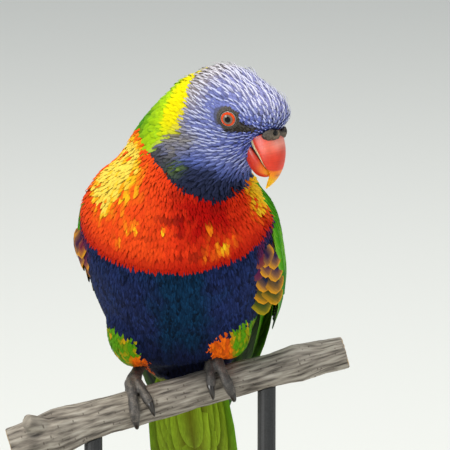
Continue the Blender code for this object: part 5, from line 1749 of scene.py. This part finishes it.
# Walnut board, planed, oiled and waxed: brown with straight grain 1 to 3 mm wide and a low satin gloss.
@functools.cache
def oiled_walnut():
    material, tree, shader = new_material("oiled_walnut")
    place = add(tree, "ShaderNodeTexCoord", {}, "Object")
    grain_at = add(tree, "ShaderNodeMapping", {"Vector": place, "Scale": (26.0, 420.0, 420.0)})
    sockets = {"Vector": grain_at, "Scale": 1.0, "Detail": 5.0, "Distortion": 0.6}
    grain = add(tree, "ShaderNodeTexNoise", sockets)
    stops = ((0.30, "#3a2414"), (0.48, "#5d3c22"), (0.62, "#7b5331"), (0.78, "#94683f"))
    wood = add(tree, "ShaderNodeValToRGB", {"Fac": grain}, stops=stops)
    pores_at = add(tree, "ShaderNodeMapping", {"Vector": place, "Scale": (180.0, 2600.0, 2600.0)})
    pores = add(tree, "ShaderNodeTexNoise", {"Vector": pores_at, "Scale": 1.0, "Detail": 1.0})
    dark = add(tree, "ShaderNodeMapRange", {0: pores, 1: 0.62, 2: 0.70, 3: 1.0, 4: 0.55})
    shaded = add(tree, "ShaderNodeVectorMath", {0: wood, "Scale": dark}, operation="SCALE")
    relief = add(tree, "ShaderNodeBump", {"Height": dark, "Strength": 0.3, "Distance": 0.0001})
    plug(tree, shader, {"Base Color": shaded, "Normal": relief, "Roughness": 0.38})
    return material


# Steel rod with a black powder coat, baked on: matt black with a fine orange-peel texture, drawn 0.6 mm wide.
@functools.cache
def powder_coated_steel():
    material, tree, shader = new_material("powder_coated_steel")
    place = add(tree, "ShaderNodeTexCoord", {}, "Object")
    peel = add(tree, "ShaderNodeTexNoise", {"Vector": place, "Scale": 1600.0, "Detail": 1.0})
    black = add(tree, "ShaderNodeValToRGB", {"Fac": peel}, stops=((0.35, "#18191a"), (0.65, "#26282a")))
    relief = add(tree, "ShaderNodeBump", {"Height": peel, "Strength": 0.5, "Distance": 0.00006})
    plug(tree, shader, {"Base Color": black, "Normal": relief, "Roughness": 0.5, "Metallic": 0.0})
    return material


def repaint(node, material):
    """Gives a CAD node's object another material."""
    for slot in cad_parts[node].material_slots:
        slot.material = material


# Studio

# The photo is square. Its sides are PHOTO_SIDE pixels long, and a pixel shows PIXEL millimetres of the bird.
# The perch point lies PERCH_LEFT pixels to the left of the photo's middle and PERCH_DOWN pixels below it.
PHOTO_SIDE = 450
PIXEL = 0.35
PERCH_LEFT = 45
PERCH_DOWN = 170
CAMERA_DISTANCE = 1600.0


def make_stage():
    scene = bpy.context.scene
    scene.view_settings.view_transform = "Standard"
    bm = bmesh.new()
    bmesh.ops.create_grid(bm, x_segments=2, y_segments=2, size=9.0)
    bmesh.ops.translate(bm, verts=bm.verts, vec=(0, 0, -0.0002))
    mesh = bpy.data.meshes.new("studio_floor")
    bm.to_mesh(mesh)
    bm.free()
    floor = bpy.data.objects.new("studio_floor", mesh)
    scene.collection.objects.link(floor)
    material, tree, shader = new_material("pale_paper")
    plug(tree, shader, {"Base Color": (*srgb("#dfe1dc"), 1), "Roughness": 0.9})
    mesh.materials.append(material)

    world = bpy.data.worlds.new("studio_world")
    world.use_nodes = True
    sky = world.node_tree.nodes["Background"]
    plug(world.node_tree, sky, {"Color": (*srgb("#e6eaee"), 1), "Strength": 0.6})
    scene.world = world

    target = Vector(PERCH * MM) + Vector((0, 0, 0.05))
    lights = (
        ("catch", (-0.67, -0.78, 0.33), 0.42, 9.0, "#ffffff"),
        ("key", (-0.75, -1.1, 1.8), 0.8, 27.0, "#fff8ee"),
        ("fill", (1.4, -1.0, 0.6), 1.1, 4.0, "#eef4ff"),
        ("crown", (0.2, 0.45, 1.8), 0.8, 15.0, "#ffffff"),
    )
    for name, place, size, power, colour in lights:
        light = bpy.data.lights.new(name, "AREA")
        light.size = size
        light.energy = power
        light.color = srgb(colour)
        lamp = bpy.data.objects.new(name, light)
        lamp.location = place
        lamp.visible_diffuse = name != "catch"
        lamp.rotation_euler = (target - Vector(place)).to_track_quat("-Z", "Y").to_euler()
        scene.collection.objects.link(lamp)

    azimuth, elevation = math.radians(5), math.radians(10)
    flat = math.cos(elevation)
    look = Vector((-math.sin(azimuth) * flat, math.cos(azimuth) * flat, -math.sin(elevation)))
    right = Vector((math.cos(azimuth), math.sin(azimuth), 0))
    up = right.cross(look)
    aim = Vector(PERCH) + right * (PERCH_LEFT * PIXEL) + up * (PERCH_DOWN * PIXEL)
    camera = bpy.data.cameras.new("camera")
    camera.sensor_width = 36
    camera.lens = 36 * CAMERA_DISTANCE / (PHOTO_SIDE * PIXEL)
    camera.clip_start = 0.05
    camera.clip_end = 60
    eye = bpy.data.objects.new("camera", camera)
    eye.location = (aim - look * CAMERA_DISTANCE) * MM
    eye.rotation_euler = look.to_track_quat("-Z", "Y").to_euler()
    scene.collection.objects.link(eye)
    scene.camera = eye


# Add-on classes


def size_setting(name, description, default):
    kind = {"unit": "LENGTH", "subtype": "DISTANCE"}
    return FloatProperty(name=name, description=description, default=default, **kind)


def colour_setting(name, description, code):
    return FloatVectorProperty(name=name, description=description, default=srgb(code), subtype="COLOR")


class LorikeetLooks(PropertyGroup):
    """Sizes and colours of the bird's looks."""

    body_depth: size_setting("Body coat depth", "How thick the coat of small feathers is on the body", 0.0014)
    face_depth: size_setting("Face coat depth", "How thick the coat is next to the bill", 0.0006)
    skin_grain: size_setting("Skin grain", "Size of the faces of the skin", 0.0009)
    hackle_gap: size_setting("Hackle gap", "Distance between the pale-shafted feathers of the hood", 0.0013)
    body_gap: size_setting("Body feather gap", "Distance between the feathers of breast and belly", 0.0009)
    hood: colour_setting("Hood", "Colour between the pale shafts of the hood", "#7680c4")
    breast: colour_setting("Breast", "Red of the breast, which deepens in its middle", "#f63e14")
    belly: colour_setting("Belly", "Blue of the belly's sides", "#1e2c5c")
    collar: colour_setting("Collar", "Yellow of the band behind the hood", "#f2e400")
    wing: colour_setting("Wings and back", "Green of the wings, back and tail", "#439a06")
    bill: colour_setting("Bill", "Red of the bill", "#e23a1e")


class LORIKEET_OT_skin(Operator):
    """Lay the skin inside the feathered solids."""

    bl_idname = "lorikeet.skin"
    bl_label = "Skin"

    def execute(self, context):
        make_skin()
        return {"FINISHED"}


class LORIKEET_OT_hood(Operator):
    """Grow the hood's broad under-feathers and its pale-shafted hackles."""

    bl_idname = "lorikeet.hood"
    bl_label = "Hood"

    def execute(self, context):
        keratin = feather_keratin("hackle_feather_keratin", streak=0.1, split=0.0, roughness=0.6, gloss=0.08)
        gap = settings().hackle_gap / MM
        make_coat("coat_hood", "hood", gap * 0.85, 4.8, 1.8, 0.68, keratin)
        make_coat("hackles_hood", "hood", gap, 6.4, 1.0, 0.95, keratin, hackle=True)
        make_coat("bristles_face", "lore", BRISTLE_GAP, 4.0, 0.5, 0.8, keratin)
        return {"FINISHED"}


class LORIKEET_OT_body_coat(Operator):
    """Grow the small feathers of collar, breast, belly, back and thighs."""

    bl_idname = "lorikeet.body_coat"
    bl_label = "Body coat"

    def execute(self, context):
        gap = settings().body_gap / MM
        silky = silky_keratin()
        downy = feather_keratin("belly_feather_keratin", streak=0.35, split=0.85, roughness=0.7, gloss=0.05)
        make_coat("coat_collar", "nape", gap, 5.8, 1.5, 0.95, silky)
        make_coat("coat_breast", "breast", gap, 6.8, 1.6, 0.95, silky)
        make_coat("coat_belly", "belly", gap, 7.2, 1.6, 0.9, downy)
        make_coat("coat_back", "back", gap * 1.9, 8.5, 4.0, 0.75, silky)
        make_coat("coat_thighs", "thigh", gap, 5.4, 1.5, 0.9, silky)
        make_flank("right", -1)
        make_flank("left", 1)
        return {"FINISHED"}


class LORIKEET_OT_wings(Operator):
    """Lay the rows of wing feathers over each folded wing."""

    bl_idname = "lorikeet.wings"
    bl_label = "Wings"

    def execute(self, context):
        make_wing("left", 1)
        make_wing("right", -1)
        return {"FINISHED"}


class LORIKEET_OT_tail(Operator):
    """Lay the tail feathers and their coverts."""

    bl_idname = "lorikeet.tail"
    bl_label = "Tail"

    def execute(self, context):
        make_tail()
        return {"FINISHED"}


class LORIKEET_OT_eyes(Operator):
    """Make the eyes with their bare, beaded lids."""

    bl_idname = "lorikeet.eyes"
    bl_label = "Eyes"

    def execute(self, context):
        make_eye("left", 1)
        make_eye("right", -1)
        return {"FINISHED"}


class LORIKEET_OT_bill(Operator):
    """Make both mandibles and the cere."""

    bl_idname = "lorikeet.bill"
    bl_label = "Bill and cere"

    def execute(self, context):
        make_mandible("upper", UPPER_BILL)
        make_mandible("lower", LOWER_BILL)
        make_cere()
        return {"FINISHED"}


class LORIKEET_OT_feet(Operator):
    """Make the scaled feet and their claws."""

    bl_idname = "lorikeet.feet"
    bl_label = "Feet"

    def execute(self, context):
        make_foot("left", 1)
        make_foot("right", -1)
        return {"FINISHED"}


class LORIKEET_OT_branch(Operator):
    """Give the branch its bark and its sawn ends."""

    bl_idname = "lorikeet.branch"
    bl_label = "Branch"

    def execute(self, context):
        make_branch()
        return {"FINISHED"}


class LORIKEET_OT_stand(Operator):
    """Finish the walnut base and the powder-coated rods."""

    bl_idname = "lorikeet.stand"
    bl_label = "Stand"

    def execute(self, context):
        repaint("stand_base", oiled_walnut())
        repaint("stand_rod_left", powder_coated_steel())
        repaint("stand_rod_right", powder_coated_steel())
        return {"FINISHED"}


class LORIKEET_OT_stage(Operator):
    """Set the floor, the lights and the camera."""

    bl_idname = "lorikeet.stage"
    bl_label = "Stage"

    def execute(self, context):
        make_stage()
        return {"FINISHED"}


STEPS = (
    LORIKEET_OT_skin,
    LORIKEET_OT_hood,
    LORIKEET_OT_body_coat,
    LORIKEET_OT_wings,
    LORIKEET_OT_tail,
    LORIKEET_OT_eyes,
    LORIKEET_OT_bill,
    LORIKEET_OT_feet,
    LORIKEET_OT_branch,
    LORIKEET_OT_stand,
    LORIKEET_OT_stage,
)


class LORIKEET_PT_looks(Panel):
    """Sidebar panel that lists the sizes, the colours and the steps."""

    bl_idname = "LORIKEET_PT_looks"
    bl_label = "Lorikeet"
    bl_space_type = "VIEW_3D"
    bl_region_type = "UI"
    bl_category = "Lorikeet"

    def draw(self, context):
        for name in LorikeetLooks.__annotations__:
            self.layout.prop(context.scene.lorikeet_looks, name)
        for made in STEPS:
            self.layout.operator(made.bl_idname)


CLASSES = (LorikeetLooks, *STEPS, LORIKEET_PT_looks)


def register():
    for made in CLASSES:
        bpy.utils.register_class(made)
    bpy.types.Scene.lorikeet_looks = PointerProperty(type=LorikeetLooks)


def unregister():
    del bpy.types.Scene.lorikeet_looks
    for made in reversed(CLASSES):
        bpy.utils.unregister_class(made)


def main():
    """Makes every piece."""
    register()
    for made in STEPS:
        group, step_name = made.bl_idname.split(".")
        getattr(getattr(bpy.ops, group), step_name)()


if __name__ == "__main__":
    main()
